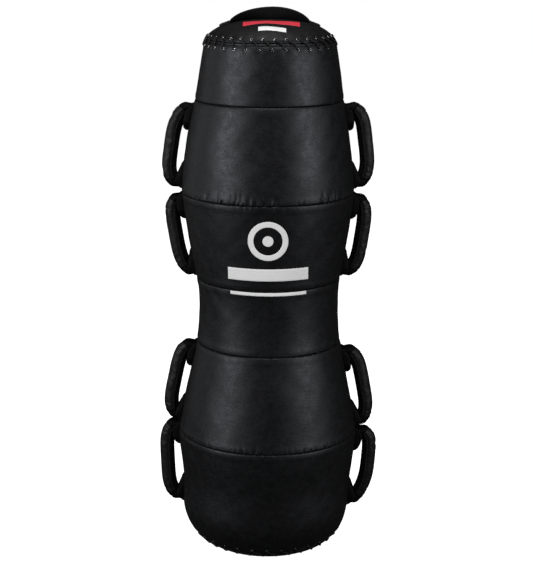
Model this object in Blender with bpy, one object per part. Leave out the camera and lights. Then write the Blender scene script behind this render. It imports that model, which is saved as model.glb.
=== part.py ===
"""A standing grappling bag: six sewn leather panels round a packed filling, laced end caps,
a webbing carrying strap on top and four padded side handles on each side.

Sizes are in metres. The base rests on z = 0, z points up, and the side handles stand out along x.
"""

import math

import bmesh
import bpy
from mathutils import Matrix, Vector

for leftover in list(bpy.data.objects):
    bpy.data.objects.remove(leftover, do_unlink=True)

# Leather, and the room that neighbouring pieces leave each other
LEATHER = 0.003
CLEARANCE = 0.0003

# Height of the top rim, and of each panel from the foot up. The collar takes what is left.
TOP_RIM_HEIGHT = 1.145
FOOT_RIM_HEIGHT = 0.022
BASE_HEIGHT = 0.2472
HIP_HEIGHT = 0.2068
WAIST_HEIGHT = 0.147
RIB_HEIGHT = 0.190
CHEST_HEIGHT = 0.2024
BODY_HEIGHT = BASE_HEIGHT + HIP_HEIGHT + WAIST_HEIGHT + RIB_HEIGHT + CHEST_HEIGHT
COLLAR_HEIGHT = TOP_RIM_HEIGHT - FOOT_RIM_HEIGHT - BODY_HEIGHT

# Radius at each seam, and how far each panel swells or draws in between its seams
RIM_RADIUS = 0.1405
CHEST_SEAM_RADIUS = 0.1609
RIB_SEAM_RADIUS = 0.1892
WAIST_SEAM_RADIUS = 0.1598
HIP_SEAM_RADIUS = 0.160
BASE_SEAM_RADIUS = 0.2012
COLLAR_CROWN = 0.0012
CHEST_CROWN = 0.0042
RIB_CROWN = 0.0015
WAIST_CROWN = -0.0048
HIP_CROWN = 0.0014

# The base panel narrows to its side radius, then turns in to the flat the bag stands on
BASE_NARROWING = 0.0107
FOOT_TURN_IN = 0.0794
BASE_SIDE_RADIUS = BASE_SEAM_RADIUS - BASE_NARROWING
STANDING_RADIUS = BASE_SIDE_RADIUS - FOOT_TURN_IN
BASE_EASE_HEIGHT = 0.130
TURN_IN_HEIGHT = 0.105

# Sewn seams: the leather dips into each seam, and both edges turn inward
SEAM_GROOVE = 0.003
SEAM_SHOULDER = 0.008
SEAM_ALLOWANCE = 0.012

# Top cap
CAP_RISE = 0.040

# Laced rims: rolled hems with a row of eyelets in each, one eyelet to a facet
EYELETS = 32
HEM_RADIUS = 0.003
HEM_SET_IN = 0.0005
HEM_GAP = 0.0006
HEM_SPAN = 0.0063
CAP_EYELET_INSET = 0.0102
PANEL_EYELET_INSET = 0.0135
EYELET_HOLE_RADIUS = 0.0031
EYELET_HOLE_SIDES = 6
LACE_RADIUS = 0.002
LACE_SLACK = 0.0005
LACE_SLANT = 0.75
LACE_CROSSING = 0.30
ROW_LAG = LACE_SLANT - 1

# Filling: rammed textile in layers over a sand weight, clear of raw edges and of the lacing
FILLING_SIDES = 16
FILLING_CHAMFER = 0.020
RAW_EDGE_MARGIN = 0.007
LACE_MARGIN = 0.016
TOP_FILLING_RISE = 0.036
WEIGHT_WAIST_SHARE = 0.6
WEIGHT_REST_SHARE = 0.95

# Side handles: a padded grip between two flat tabs that are sewn to the wall
GRIP_RADIUS = 0.0163
GRIP_COVER = 0.003
GRIP_SIDES = 8
CORE_SIDES = 6
CORE_CLEARANCE = 0.0008
GRIP_END_RADIUS = 0.008
GRIP_STATIONS = (0.0, 0.07, 0.18, 0.38, 0.62, 0.82, 0.93, 1.0)
GRIP_BOW_POWER = 4
GRIP_SWELL_GAIN = 3.2
GRIP_SWELL_POWER = 1.5
TAB_WIDTH = 0.046
TAB_TIP_SHARE = 0.5
TAB_LENGTH = 0.052
TAB_OVERHANG = 0.005
TAB_THICKNESS = 0.0024
TAB_POINT = 0.35

# Carrying strap: webbing sewn flat to the cap at both ends, its arch lying back on the dome
STRAP_WIDTH = 0.035
STRAP_THICKNESS = 0.0025
STRAP_HALF_SPAN = 0.086
STRAP_ARCH = 0.025
STRAP_ROOT_WIDTH = 0.008
STRAP_SEWN_LENGTH = 0.025
STRAP_OVERLAP = 0.004
STRAP_STATIONS = (0, 14, 32, 58, 90, 122, 148, 166, 180)

COLLAR_TOP = (RIM_RADIUS, TOP_RIM_HEIGHT)
CHEST_SEAM = (CHEST_SEAM_RADIUS, COLLAR_TOP[1] - COLLAR_HEIGHT)
RIB_SEAM = (RIB_SEAM_RADIUS, CHEST_SEAM[1] - CHEST_HEIGHT)
WAIST_SEAM = (WAIST_SEAM_RADIUS, RIB_SEAM[1] - RIB_HEIGHT)
HIP_SEAM = (HIP_SEAM_RADIUS, WAIST_SEAM[1] - WAIST_HEIGHT)
BASE_SEAM = (BASE_SEAM_RADIUS, HIP_SEAM[1] - HIP_HEIGHT)
FLOOR = (STANDING_RADIUS, 0.0)

# Side handles by level and side: the seams they hang between, how far the upper fold lies below
# the upper seam, how far the lower fold lies above the lower one, and the gap for the fingers.
# They are sewn on by hand, so the lower two on the right sit a little deeper than on the left.
HANDLES = {
    "chest_left": (CHEST_SEAM, RIB_SEAM, 0.0154, 0.0130, 0.0180),
    "chest_right": (CHEST_SEAM, RIB_SEAM, 0.0154, 0.0130, 0.0184),
    "rib_left": (RIB_SEAM, WAIST_SEAM, 0.0080, 0.0080, 0.0135),
    "rib_right": (RIB_SEAM, WAIST_SEAM, 0.0080, 0.0080, 0.0162),
    "hip_left": (HIP_SEAM, BASE_SEAM, 0.0100, 0.0218, 0.0150),
    "hip_right": (HIP_SEAM, BASE_SEAM, 0.0230, 0.0073, 0.0165),
    "base_left": (BASE_SEAM, FLOOR, -0.0108, 0.0980, 0.0220),
    "base_right": (BASE_SEAM, FLOOR, 0.0047, 0.0890, 0.0205),
}

# Corners of the turned outlines: shares of a height, or degrees round an arc
COLLAR_MIDDLE_SHARE = 0.55
BASE_SIDE_SHARES = (0.4, 0.7, 1.0)
FOOT_TURN_SHARE = 0.92
FOOT_CORNER_SHARE = 0.62
BOTTOM_TURN_SHARE = 0.35
DOME_TURNS = (90, 74, 56, 38)
FILLING_DOME_TURNS = (60, 30, 0)
HEM_TURNS = (45, -10, -70, -140)
SMOOTH_TURN = 35

# Looks: colour and roughness
BLACK_LEATHER = ((0.022, 0.023, 0.025), 0.42)
DARK_LEATHER = ((0.012, 0.012, 0.013), 0.52)
BLACK_CORD = ((0.010, 0.010, 0.011), 0.6)
WEBBING = ((0.018, 0.018, 0.019), 0.85)
FOAM = ((0.16, 0.16, 0.17), 0.9)
TEXTILE = ((0.33, 0.32, 0.31), 0.95)
SAND = ((0.42, 0.36, 0.27), 0.95)


def finish(piece, look):
    """Give a piece its own material."""
    colour, roughness = look
    material = bpy.data.materials.new(piece.name + "_finish")
    material.use_nodes = True
    shader = material.node_tree.nodes["Principled BSDF"]
    shader.inputs["Base Color"].default_value = (*colour, 1.0)
    shader.inputs["Roughness"].default_value = roughness
    shader.inputs["Metallic"].default_value = 0.0
    piece.data.materials.clear()
    piece.data.materials.append(material)


def add_piece(name, mesh_source, look, parent=None):
    """Turn a bmesh into a named object, facing out, smooth where it is round."""
    bmesh.ops.recalc_face_normals(mesh_source, faces=mesh_source.faces)
    mesh = bpy.data.meshes.new(name)
    mesh_source.to_mesh(mesh)
    mesh_source.free()
    mesh.shade_smooth()
    mesh.set_sharp_from_angle(angle=math.radians(SMOOTH_TURN))
    piece = bpy.data.objects.new(name, mesh)
    bpy.context.scene.collection.objects.link(piece)
    piece.parent = parent
    finish(piece, look)
    return piece


def facet_angle(index, sides):
    """Corners lie between the facets, so a facet faces each of the four axes."""
    return (index + 0.5) * math.tau / sides


def turned(name, outline, look, sides=EYELETS):
    """Turn an outline of (radius, height) points round the z axis. An outline that starts and
    ends on the axis makes a solid; any other is closed into a ring."""
    shape = bmesh.new()
    rings = []
    for radius, height in outline:
        if radius < 1e-6:
            rings.append([shape.verts.new((0.0, 0.0, height))])
            continue
        corners = [facet_angle(index, sides) for index in range(sides)]
        rings.append([shape.verts.new((radius * math.cos(a), radius * math.sin(a), height))
                      for a in corners])
    on_axis = len(rings[0]) == 1
    pairs = list(zip(rings, rings[1:]))
    if not on_axis:
        pairs.append((rings[-1], rings[0]))
    for first, second in pairs:
        for index in range(sides):
            after = (index + 1) % sides
            if len(first) == 1 and len(second) == 1:
                continue
            if len(first) == 1:
                shape.faces.new((first[0], second[index], second[after]))
            elif len(second) == 1:
                shape.faces.new((first[index], first[after], second[0]))
            else:
                shape.faces.new((first[index], first[after], second[after], second[index]))
    return add_piece(name, shape, look)


def between(first, second, share):
    return tuple(a + (b - a) * share for a, b in zip(first, second))


def panel_point(top, bottom, crown, share):
    """A point on a panel's outer line, share 0 at its upper edge and 1 at its lower edge."""
    radius, height = between(top, bottom, share)
    return radius + crown * 4 * share * (1 - share), height


def inward(point, distance=LEATHER):
    return point[0] - distance, point[1]


def seam_edge(seam, side):
    """A panel's edge turned in at a seam, side 1 above the seam and -1 below it: its lip in the
    groove, both corners of its raw edge, and the corner where it meets the wall's inner face."""
    radius, height = seam
    face = height + side * CLEARANCE / 2
    back = face + side * LEATHER
    lip = radius - SEAM_GROOVE
    raw = lip - SEAM_ALLOWANCE
    return [(lip, face), (raw, face), (raw, back), (lip - LEATHER / 2, back)]


def panel_outline(top, bottom, crown):
    """Section of a panel sewn at both edges, down its outer side and back up inside."""
    height = top[1] - bottom[1]
    shoulder = SEAM_SHOULDER / height
    outer = [panel_point(top, bottom, crown, share) for share in (shoulder, 0.5, 1 - shoulder)]
    upper = seam_edge(top, -1)
    lower = seam_edge(bottom, 1)
    return upper[::-1] + outer + lower + [inward(outer[1])]


def hem_frame(rim, wall):
    """Directions at a rim, as (radius, height) vectors: along the wall away from the rim, and
    out of the wall."""
    along = Vector((wall[0] - rim[0], wall[1] - rim[1])).normalized()
    out = Vector((along.y, -along.x))
    if out.x < 0:
        out = -out
    return along, out


def hem(rim, wall):
    """Rolled hem at a rim, from the wall's outer face round to its inner face."""
    along, out = hem_frame(rim, wall)
    centre = Vector(rim) + along * (HEM_GAP / 2 + HEM_RADIUS) - out * HEM_SET_IN
    points = []
    for degrees in HEM_TURNS:
        turn = math.radians(degrees)
        points.append(tuple(centre + HEM_RADIUS * (math.cos(turn) * out + math.sin(turn) * along)))
    return points


def foot_point(height):
    """The rounded turn-in below the base panel's side, at a height above the floor."""
    depth = (TURN_IN_HEIGHT - height) / TURN_IN_HEIGHT
    reach = (BASE_SIDE_RADIUS - STANDING_RADIUS) * math.sqrt(1 - depth * depth)
    return STANDING_RADIUS + reach, height


def cap_point(rise):
    """The top cap's dome, at a rise above the rim."""
    share = rise / CAP_RISE
    return RIM_RADIUS * math.sqrt(1 - share * share), COLLAR_TOP[1] + rise


FOOT_RIM = foot_point(FOOT_RIM_HEIGHT)
FOOT_SLOPE = hem_frame(FOOT_RIM, foot_point(FOOT_RIM_HEIGHT + HEM_SPAN))[0].y


def lacing_band(place, inset):
    """The straight strip of wall that holds a row of eyelets: its edges, on the line given by
    place, lie at equal distances on both sides of the row."""
    return place(HEM_SPAN), place(2 * inset - HEM_SPAN)


CAP_BAND = lacing_band(cap_point, CAP_EYELET_INSET)
COLLAR_BAND = lacing_band(
    lambda drop: panel_point(COLLAR_TOP, CHEST_SEAM, COLLAR_CROWN, drop / COLLAR_HEIGHT),
    PANEL_EYELET_INSET)
BASE_BAND = lacing_band(
    lambda rise: foot_point(FOOT_RIM_HEIGHT + rise * FOOT_SLOPE), PANEL_EYELET_INSET)
FOOT_BAND = lacing_band(
    lambda drop: foot_point(FOOT_RIM_HEIGHT - drop * FOOT_SLOPE), CAP_EYELET_INSET)


def behind(point, rim, wall, distance=LEATHER):
    """A point at the given depth below the outer face of a laced wall."""
    out = hem_frame(rim, wall)[1]
    return point[0] - out.x * distance, point[1] - out.y * distance


def collar_middle():
    return panel_point(COLLAR_TOP, CHEST_SEAM, COLLAR_CROWN, COLLAR_MIDDLE_SHARE)


def collar_outline():
    near, far = COLLAR_BAND
    shoulder = SEAM_SHOULDER / COLLAR_HEIGHT
    middle = collar_middle()
    low = panel_point(COLLAR_TOP, CHEST_SEAM, COLLAR_CROWN, 1 - shoulder)
    outer = [near, far, middle, low]
    inner = [inward(middle), inward(far), inward(near)]
    return outer + seam_edge(CHEST_SEAM, 1) + inner + hem(COLLAR_TOP, near)[::-1]


def base_side(share):
    """The base panel's upper side, eased from its seam in to the side radius."""
    ease = (1 + math.cos(math.pi * share)) / 2
    radius = BASE_SIDE_RADIUS + (BASE_SEAM_RADIUS - BASE_SIDE_RADIUS) * ease
    return radius, BASE_SEAM[1] - BASE_EASE_HEIGHT * share


def base_corners():
    """Corners of the base panel's outer line between its seam and its turned-in foot."""
    side = [base_side(share) for share in BASE_SIDE_SHARES]
    return side + [foot_point(TURN_IN_HEIGHT * FOOT_CORNER_SHARE)]


def base_face():
    """The base panel's outer line between its seam and its eyelets."""
    corners = base_corners()
    shoulder = base_side(SEAM_SHOULDER / BASE_EASE_HEIGHT)
    turn = foot_point(TURN_IN_HEIGHT * FOOT_TURN_SHARE)
    return [shoulder] + corners[:-1] + [turn, corners[-1]]


def base_outline():
    near, far = BASE_BAND
    inner = [behind(near, FOOT_RIM, near), behind(far, FOOT_RIM, near)]
    inner += [inward(point) for point in base_corners()[::-1]]
    outer = base_face() + [far, near]
    return seam_edge(BASE_SEAM, -1)[::-1] + outer + hem(FOOT_RIM, near) + inner


def cap_face():
    """The top cap's outer line, from its crown to its hem."""
    near, far = CAP_BAND
    dome = [cap_point(CAP_RISE * math.sin(math.radians(turn))) for turn in DOME_TURNS]
    crown = (0.0, COLLAR_TOP[1] + CAP_RISE)
    return [crown] + dome[1:] + [far, near]


def cap_outline():
    outer = cap_face()
    near, far = CAP_BAND
    inner = [behind(near, COLLAR_TOP, near), behind(far, near, far)]
    inner += [(point[0] * (1 - LEATHER / RIM_RADIUS), point[1] - LEATHER) for point in outer[-3::-1]]
    return outer + hem(COLLAR_TOP, near) + inner


def bottom_outline():
    near, far = FOOT_BAND
    turn = foot_point(far[1] * BOTTOM_TURN_SHARE)
    outer = [(0.0, 0.0), (STANDING_RADIUS, 0.0), turn, far, near]
    inner = [behind(near, FOOT_RIM, near), behind(far, near, far)]
    inner += [(turn[0] - LEATHER / 2, turn[1] + LEATHER), (STANDING_RADIUS, LEATHER), (0.0, LEATHER)]
    return outer + hem(FOOT_RIM, near) + inner


def eyelet_spot(band, shift):
    """Where an eyelet row's holes are, on the facets' face: middle of the band, and its normal.
    Shift is the hole's distance from the middle of its facet, as a share of the pitch."""
    near, far = band
    out = hem_frame(near, far)[1]
    pitch = math.tau / EYELETS
    flat = math.cos(pitch / 2) / math.cos(pitch * shift)
    middle = between(near, far, 0.5)
    return (middle[0] * flat, middle[1]), out


def cut_eyelets(piece, band, shift):
    """Cut a row of holes, one in each facet, square to the wall."""
    (radius, height), out = eyelet_spot(band, shift)
    shape = bmesh.new()
    lean = math.atan2(out.y, out.x)
    for index in range(EYELETS):
        angle = (index + shift) * math.tau / EYELETS
        facet = index * math.tau / EYELETS
        place = Matrix.Translation((radius * math.cos(angle), radius * math.sin(angle), height))
        aim = Matrix.Rotation(facet, 4, "Z") @ Matrix.Rotation(math.pi / 2 - lean, 4, "Y")
        bmesh.ops.create_cone(shape, cap_ends=True, segments=EYELET_HOLE_SIDES,
                              radius1=EYELET_HOLE_RADIUS, radius2=EYELET_HOLE_RADIUS,
                              depth=4 * LEATHER, matrix=place @ aim)
    cutter = add_piece(piece.name + "_eyelet_cutter", shape, DARK_LEATHER)
    cutter.hide_render = True
    cutter.display_type = "WIRE"
    cut = piece.modifiers.new("eyelet holes", "BOOLEAN")
    cut.operation = "DIFFERENCE"
    cut.object = cutter


def lace_points(rim, upper, lower):
    """Whip lacing round a rim, one turn to an eyelet. Each turn leaves an upper hole, slants over
    both hems to a lower hole, goes in, and climbs inside to the next upper hole. Upper and lower
    are each a row's band and the shift of its holes."""
    (upper_spot, upper_out) = eyelet_spot(*upper)
    (lower_spot, lower_out) = eyelet_spot(*lower)
    over = LACE_RADIUS + LACE_SLACK
    under = LEATHER + HEM_SET_IN + LACE_RADIUS + LACE_SLACK
    crest = HEM_RADIUS - HEM_SET_IN + over
    steps = []
    for band, spot, out, share in ((upper[0], upper_spot, upper_out, LACE_CROSSING),
                                   (lower[0], lower_spot, lower_out, 1 - LACE_CROSSING)):
        along, wall_out = hem_frame(rim, band[0])
        bead = Vector(rim) + along * (HEM_RADIUS + HEM_GAP / 2) + wall_out * crest
        hole = [Vector(spot) + out * over, Vector(spot) - out * under]
        steps.append((hole, (bead, share * LACE_SLANT)))
    (upper_hole, upper_bead), (lower_hole, lower_bead) = steps
    turn = [(upper_hole[0], 0.0), upper_bead, lower_bead, (lower_hole[0], LACE_SLANT),
            (lower_hole[1], LACE_SLANT), (upper_hole[1], 1.0)]
    points = [(turn[-1][0], 0.0)]
    for index in range(EYELETS):
        points += [(place, index + share) for place, share in turn]
    points.pop()
    path = []
    for place, count in points:
        angle = (count + upper[1]) * math.tau / EYELETS
        path.append(Vector((place.x * math.cos(angle), place.x * math.sin(angle), place.y)))
    return path


def least_gap(path, radius, reach):
    """Least gap between stretches of a cord that lie at least reach points apart."""
    gap = math.inf
    middles = [(a + b) / 2 for a, b in zip(path, path[1:])]
    spots = path + middles
    order = list(range(len(path))) + [index + 0.5 for index in range(len(middles))]
    for index, spot in enumerate(spots):
        for other in range(index + 1, len(spots)):
            if abs(order[other] - order[index]) >= reach:
                gap = min(gap, (spot - spots[other]).length - 2 * radius)
    return gap


def cord(name, path, radius, resolution):
    curve = bpy.data.curves.new(name, "CURVE")
    curve.dimensions = "3D"
    curve.bevel_depth = radius
    curve.bevel_resolution = resolution
    curve.render_resolution_u = 0
    curve.use_fill_caps = True
    spline = curve.splines.new("POLY")
    spline.points.add(len(path) - 1)
    for point, place in zip(spline.points, path):
        point.co = (*place, 1.0)
    piece = bpy.data.objects.new(name, curve)
    bpy.context.scene.collection.objects.link(piece)
    finish(piece, BLACK_CORD)
    return piece


# Shell panels, from the collar down
collar = turned("collar_panel", collar_outline(), BLACK_LEATHER)
turned("chest_panel", panel_outline(CHEST_SEAM, RIB_SEAM, CHEST_CROWN), BLACK_LEATHER)
turned("rib_panel", panel_outline(RIB_SEAM, WAIST_SEAM, RIB_CROWN), BLACK_LEATHER)
turned("waist_panel", panel_outline(WAIST_SEAM, HIP_SEAM, WAIST_CROWN), BLACK_LEATHER)
turned("hip_panel", panel_outline(HIP_SEAM, BASE_SEAM, HIP_CROWN), BLACK_LEATHER)
base = turned("base_panel", base_outline(), BLACK_LEATHER)

# End caps and their lacing: the lower row of holes is a quarter pitch behind the upper one
top_cap = turned("top_cap", cap_outline(), BLACK_LEATHER)
bottom_cap = turned("bottom_cap", bottom_outline(), DARK_LEATHER)
cut_eyelets(top_cap, CAP_BAND, 0.0)
cut_eyelets(collar, COLLAR_BAND, ROW_LAG)
cut_eyelets(base, BASE_BAND, 0.0)
cut_eyelets(bottom_cap, FOOT_BAND, ROW_LAG)
for lace_name, lace_rim, upper_row, lower_row, lace_resolution in (
        ("top_lace", COLLAR_TOP, (CAP_BAND, 0.0), (COLLAR_BAND, ROW_LAG), 1),
        ("bottom_lace", FOOT_RIM, (BASE_BAND, 0.0), (FOOT_BAND, ROW_LAG), 0)):
    lace_path = lace_points(lace_rim, upper_row, lower_row)
    cord(lace_name, lace_path, LACE_RADIUS, lace_resolution)
    print(lace_name, "least gap to itself", round(1000 * least_gap(lace_path, LACE_RADIUS, 3), 2), "mm")

def packed(inner_point):
    """A filling's corner, just inside a point of the wall's inner face."""
    return inner_point[0] * math.cos(math.pi / EYELETS) - CLEARANCE, inner_point[1]


def at_height(first, second, height):
    """The point at a height on the line through two others."""
    return between(first, second, (height - first[1]) / (second[1] - first[1]))


def filling_end(seam, side):
    """The flat end of a filling at a seam, clear of the raw edges."""
    radius = seam[0] - SEAM_GROOVE - SEAM_ALLOWANCE - RAW_EDGE_MARGIN
    height = seam[1] + side * CLEARANCE / 2
    return [(0.0, height), (radius, height)]


def chamfered(seam, side, middle):
    """Where a filling that narrows to a seam's raw edges leaves the wall's inner face."""
    corner = seam_edge(seam, side)[3]
    return packed(at_height(corner, middle, seam[1] + side * FILLING_CHAMFER))


def filling_outline(top, bottom, crown):
    middle = inward(panel_point(top, bottom, crown, 0.5))
    side = [chamfered(top, -1, middle), packed(middle), chamfered(bottom, 1, middle)]
    return filling_end(top, -1) + side + filling_end(bottom, 1)[::-1]


def collar_filling_outline():
    """The top layer: domed under the cap, and drawn in to leave room for the lacing."""
    radius = RIM_RADIUS - LACE_MARGIN
    dome = [(0.0, COLLAR_TOP[1] + TOP_FILLING_RISE)]
    for degrees in FILLING_DOME_TURNS:
        turn = math.radians(degrees)
        dome.append((radius * math.cos(turn), COLLAR_TOP[1] + TOP_FILLING_RISE * math.sin(turn)))
    neck = (radius, COLLAR_BAND[1][1])
    middle = inward(collar_middle())
    side = [neck, packed(middle), chamfered(CHEST_SEAM, 1, middle)]
    return dome + side + filling_end(CHEST_SEAM, 1)[::-1]


def base_filling_outline():
    """The lowest layer, down to the sand weight."""
    inner = [inward(point) for point in base_corners()]
    floor = inner[-1][1] + CLEARANCE
    side = [packed(point) for point in inner[:-1]]
    return filling_end(BASE_SEAM, -1) + side + [packed((inner[-1][0], floor)), (0.0, floor)]


def weight_outline():
    """The sand weight rests on the bottom cap, and its sides leave room for the lacing."""
    top = inward(base_corners()[-1])
    waist = foot_point(top[1] * WEIGHT_WAIST_SHARE)
    rest = LEATHER + CLEARANCE
    sides = [packed(top), (waist[0] - LACE_MARGIN, waist[1]),
             (STANDING_RADIUS * WEIGHT_REST_SHARE, rest)]
    return [(0.0, top[1])] + sides + [(0.0, rest)]


# Filling: rammed textile in layers, one to a panel, over a sand weight in the foot
for filling_name, filling_shape in (
        ("collar_filling", collar_filling_outline()),
        ("chest_filling", filling_outline(CHEST_SEAM, RIB_SEAM, CHEST_CROWN)),
        ("rib_filling", filling_outline(RIB_SEAM, WAIST_SEAM, RIB_CROWN)),
        ("waist_filling", filling_outline(WAIST_SEAM, HIP_SEAM, WAIST_CROWN)),
        ("hip_filling", filling_outline(HIP_SEAM, BASE_SEAM, HIP_CROWN)),
        ("base_filling", base_filling_outline())):
    turned(filling_name, filling_shape, TEXTILE, FILLING_SIDES)
turned("sand_weight", weight_outline(), SAND, FILLING_SIDES)


def wall_corners():
    """Corners of the wall's outer line from the top down, leaving out the seams' grooves."""
    corners = [panel_point(COLLAR_TOP, CHEST_SEAM, COLLAR_CROWN, 1 - SEAM_SHOULDER / COLLAR_HEIGHT)]
    for top, bottom, crown in ((CHEST_SEAM, RIB_SEAM, CHEST_CROWN),
                               (RIB_SEAM, WAIST_SEAM, RIB_CROWN),
                               (WAIST_SEAM, HIP_SEAM, WAIST_CROWN),
                               (HIP_SEAM, BASE_SEAM, HIP_CROWN)):
        shoulder = SEAM_SHOULDER / (top[1] - bottom[1])
        corners += [panel_point(top, bottom, crown, share) for share in (shoulder, 0.5, 1 - shoulder)]
    corners += base_face()
    flat = math.cos(math.pi / EYELETS)
    return [Vector((radius * flat, height)) for radius, height in corners]


WALL = wall_corners()


def wall_at(height):
    """Point on the wall's outer line in the handles' plane, and the wall's normal there."""
    for upper, lower in zip(WALL, WALL[1:]):
        if upper.y >= height >= lower.y:
            along = lower - upper
            normal = Vector((-along.y, along.x)).normalized()
            return upper + along * ((upper.y - height) / -along.y), normal
    raise ValueError("no wall at this height")


def in_world(point, side, across=0.0):
    """A point of the handles' plane, on the side of x that side gives."""
    return Vector((side * point.x, across, point.y))


def loft(name, stations, look, parent=None, hollow=None):
    """Join rings of points into one closed solid. With hollow rings it is an open-ended tube."""
    shape = bmesh.new()
    outer = [[shape.verts.new(point) for point in ring] for ring in stations]
    inner = [[shape.verts.new(point) for point in ring] for ring in hollow or []]
    count = len(stations[0])
    for skin in (outer, inner):
        for first, second in zip(skin, skin[1:]):
            for index in range(count):
                after = (index + 1) % count
                shape.faces.new((first[index], first[after], second[after], second[index]))
    for end in (0, -1):
        if inner:
            for index in range(count):
                after = (index + 1) % count
                shape.faces.new((outer[end][index], outer[end][after],
                                 inner[end][after], inner[end][index]))
        else:
            shape.faces.new(outer[end])
    return add_piece(name, shape, look, parent)


def add_tab(name, side, fold, inward_sign):
    """A flat leather tab, sewn to the wall from just past the fold, with a narrowed tip."""
    start = fold - inward_sign * TAB_OVERHANG
    stop = start + inward_sign * TAB_LENGTH
    point_at = stop - inward_sign * TAB_LENGTH * TAB_POINT
    heights = [start, point_at, stop]
    heights += [corner.y for corner in WALL if min(start, stop) < corner.y < max(start, stop)]
    stations = []
    for height in sorted(heights):
        place, normal = wall_at(height)
        near = min(1.0, (stop - height) * inward_sign / (TAB_LENGTH * TAB_POINT))
        half = TAB_WIDTH / 2 * (TAB_TIP_SHARE + (1 - TAB_TIP_SHARE) * near)
        low = place + normal * CLEARANCE
        high = place + normal * (CLEARANCE + TAB_THICKNESS)
        stations.append([in_world(low, side, -half), in_world(low, side, half),
                         in_world(high, side, half), in_world(high, side, -half)])
    return loft(name, stations, DARK_LEATHER)


def grip_rings(high, low, reach, side, sides, inset):
    """Rings of a grip that bows out from the line between its two folds. Inset gives a ring's
    own radius from the radius of the grip there."""
    chord = low - high
    out = Vector((-chord.y, chord.x)).normalized()
    rings = []
    for share in GRIP_STATIONS:
        bulge = 1 - abs(2 * share - 1) ** GRIP_BOW_POWER
        centre = high + chord * share + out * reach * bulge
        turn_in = abs(2 * share - 1) ** (GRIP_BOW_POWER - 1) * (1 if share < 0.5 else -1)
        slope = 0.0 if share in (0.0, 1.0) else 2 * GRIP_BOW_POWER * reach * turn_in / chord.length
        aim = (chord.normalized() + out * slope).normalized()
        across = Vector((-aim.y, aim.x))
        swell = min(1.0, GRIP_SWELL_GAIN * bulge ** GRIP_SWELL_POWER)
        radius = inset(GRIP_END_RADIUS + (GRIP_RADIUS - GRIP_END_RADIUS) * swell)
        ring = []
        for index in range(sides):
            turn = index * math.tau / sides
            spot = centre + across * radius * math.cos(turn)
            ring.append(in_world(spot, side, radius * math.sin(turn)))
        rings.append(ring)
    return rings


def add_handle(name):
    """One handle: an empty on its swing axis carries the grip's cover and its foam core."""
    upper_seam, lower_seam, drop, lift, gap = HANDLES[name]
    side = -1 if name.endswith("_left") else 1
    fold_high = upper_seam[1] - drop
    fold_low = lower_seam[1] + lift
    rise = CLEARANCE + TAB_THICKNESS + CLEARANCE + GRIP_END_RADIUS
    ends = []
    for fold in (fold_high, fold_low):
        place, normal = wall_at(fold)
        ends.append(place + normal * rise)
    high, low = ends
    middle = wall_at((high.y + low.y) / 2)[0]
    reach = middle.x + gap + GRIP_RADIUS - (high.x + low.x) / 2
    axis = bpy.data.objects.new(name + "_swing_axis", None)
    bpy.context.scene.collection.objects.link(axis)
    axis.location = in_world(high, side)
    rings = {}
    flat = math.cos(math.pi / GRIP_SIDES)
    for part, sides, inset in (("cover", GRIP_SIDES, lambda radius: radius),
                               ("bore", GRIP_SIDES, lambda radius: radius - GRIP_COVER),
                               ("core", CORE_SIDES,
                                lambda radius: (radius - GRIP_COVER) * flat - CORE_CLEARANCE)):
        world = grip_rings(high, low, reach, side, sides, inset)
        rings[part] = [[point - axis.location for point in ring] for ring in world]
    loft(name + "_grip", rings["cover"], BLACK_LEATHER, axis, rings["bore"])
    loft(name + "_grip_core", rings["core"], FOAM, axis)
    add_tab(name + "_upper_tab", side, fold_high, -1)
    add_tab(name + "_lower_tab", side, fold_low, 1)
    axis_line = (low - high).normalized()
    print(name, "swing axis through", [round(v, 5) for v in in_world(high, side)],
          "along", [round(v, 5) for v in in_world(axis_line, side)],
          "mid reach", round(middle.x + gap + 2 * GRIP_RADIUS, 4))


# Side handles: sewn tabs on the wall, and between them a padded grip that swings sideways
for handle_name in HANDLES:
    add_handle(handle_name)

def dome_line():
    """The cap's outer line in the strap's plane, on the facets' faces."""
    flat = math.cos(math.pi / EYELETS)
    return [Vector((radius * flat, height)) for radius, height in cap_face()]


def dome_at(reach):
    """A point on the cap's outer line at a distance from the middle, and its normal there."""
    line = dome_line()
    for inner, outer in zip(line, line[1:]):
        if inner.x <= reach <= outer.x:
            along = (outer - inner).normalized()
            return inner + along * ((reach - inner.x) / along.x), Vector((-along.y, along.x))
    raise ValueError("the strap reaches past the cap")


STRAP_ROOT_RADIUS = math.hypot(STRAP_ROOT_WIDTH, STRAP_THICKNESS) / 2
STRAP_SEAT, STRAP_NORMAL = dome_at(STRAP_HALF_SPAN)
STRAP_AXIS_HEIGHT = (STRAP_SEAT + STRAP_NORMAL
                     * (2 * CLEARANCE + STRAP_THICKNESS + STRAP_ROOT_RADIUS)).y


def strap_lean():
    """How far the arch lies back from upright when its back edge rests on the dome."""
    edge = math.hypot(STRAP_ARCH - STRAP_THICKNESS / 2, STRAP_WIDTH / 2)
    rest = COLLAR_TOP[1] + CAP_RISE + CLEARANCE - STRAP_AXIS_HEIGHT
    corner = math.atan2(STRAP_WIDTH / 2, STRAP_ARCH - STRAP_THICKNESS / 2)
    return math.acos(rest / edge) - corner


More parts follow.
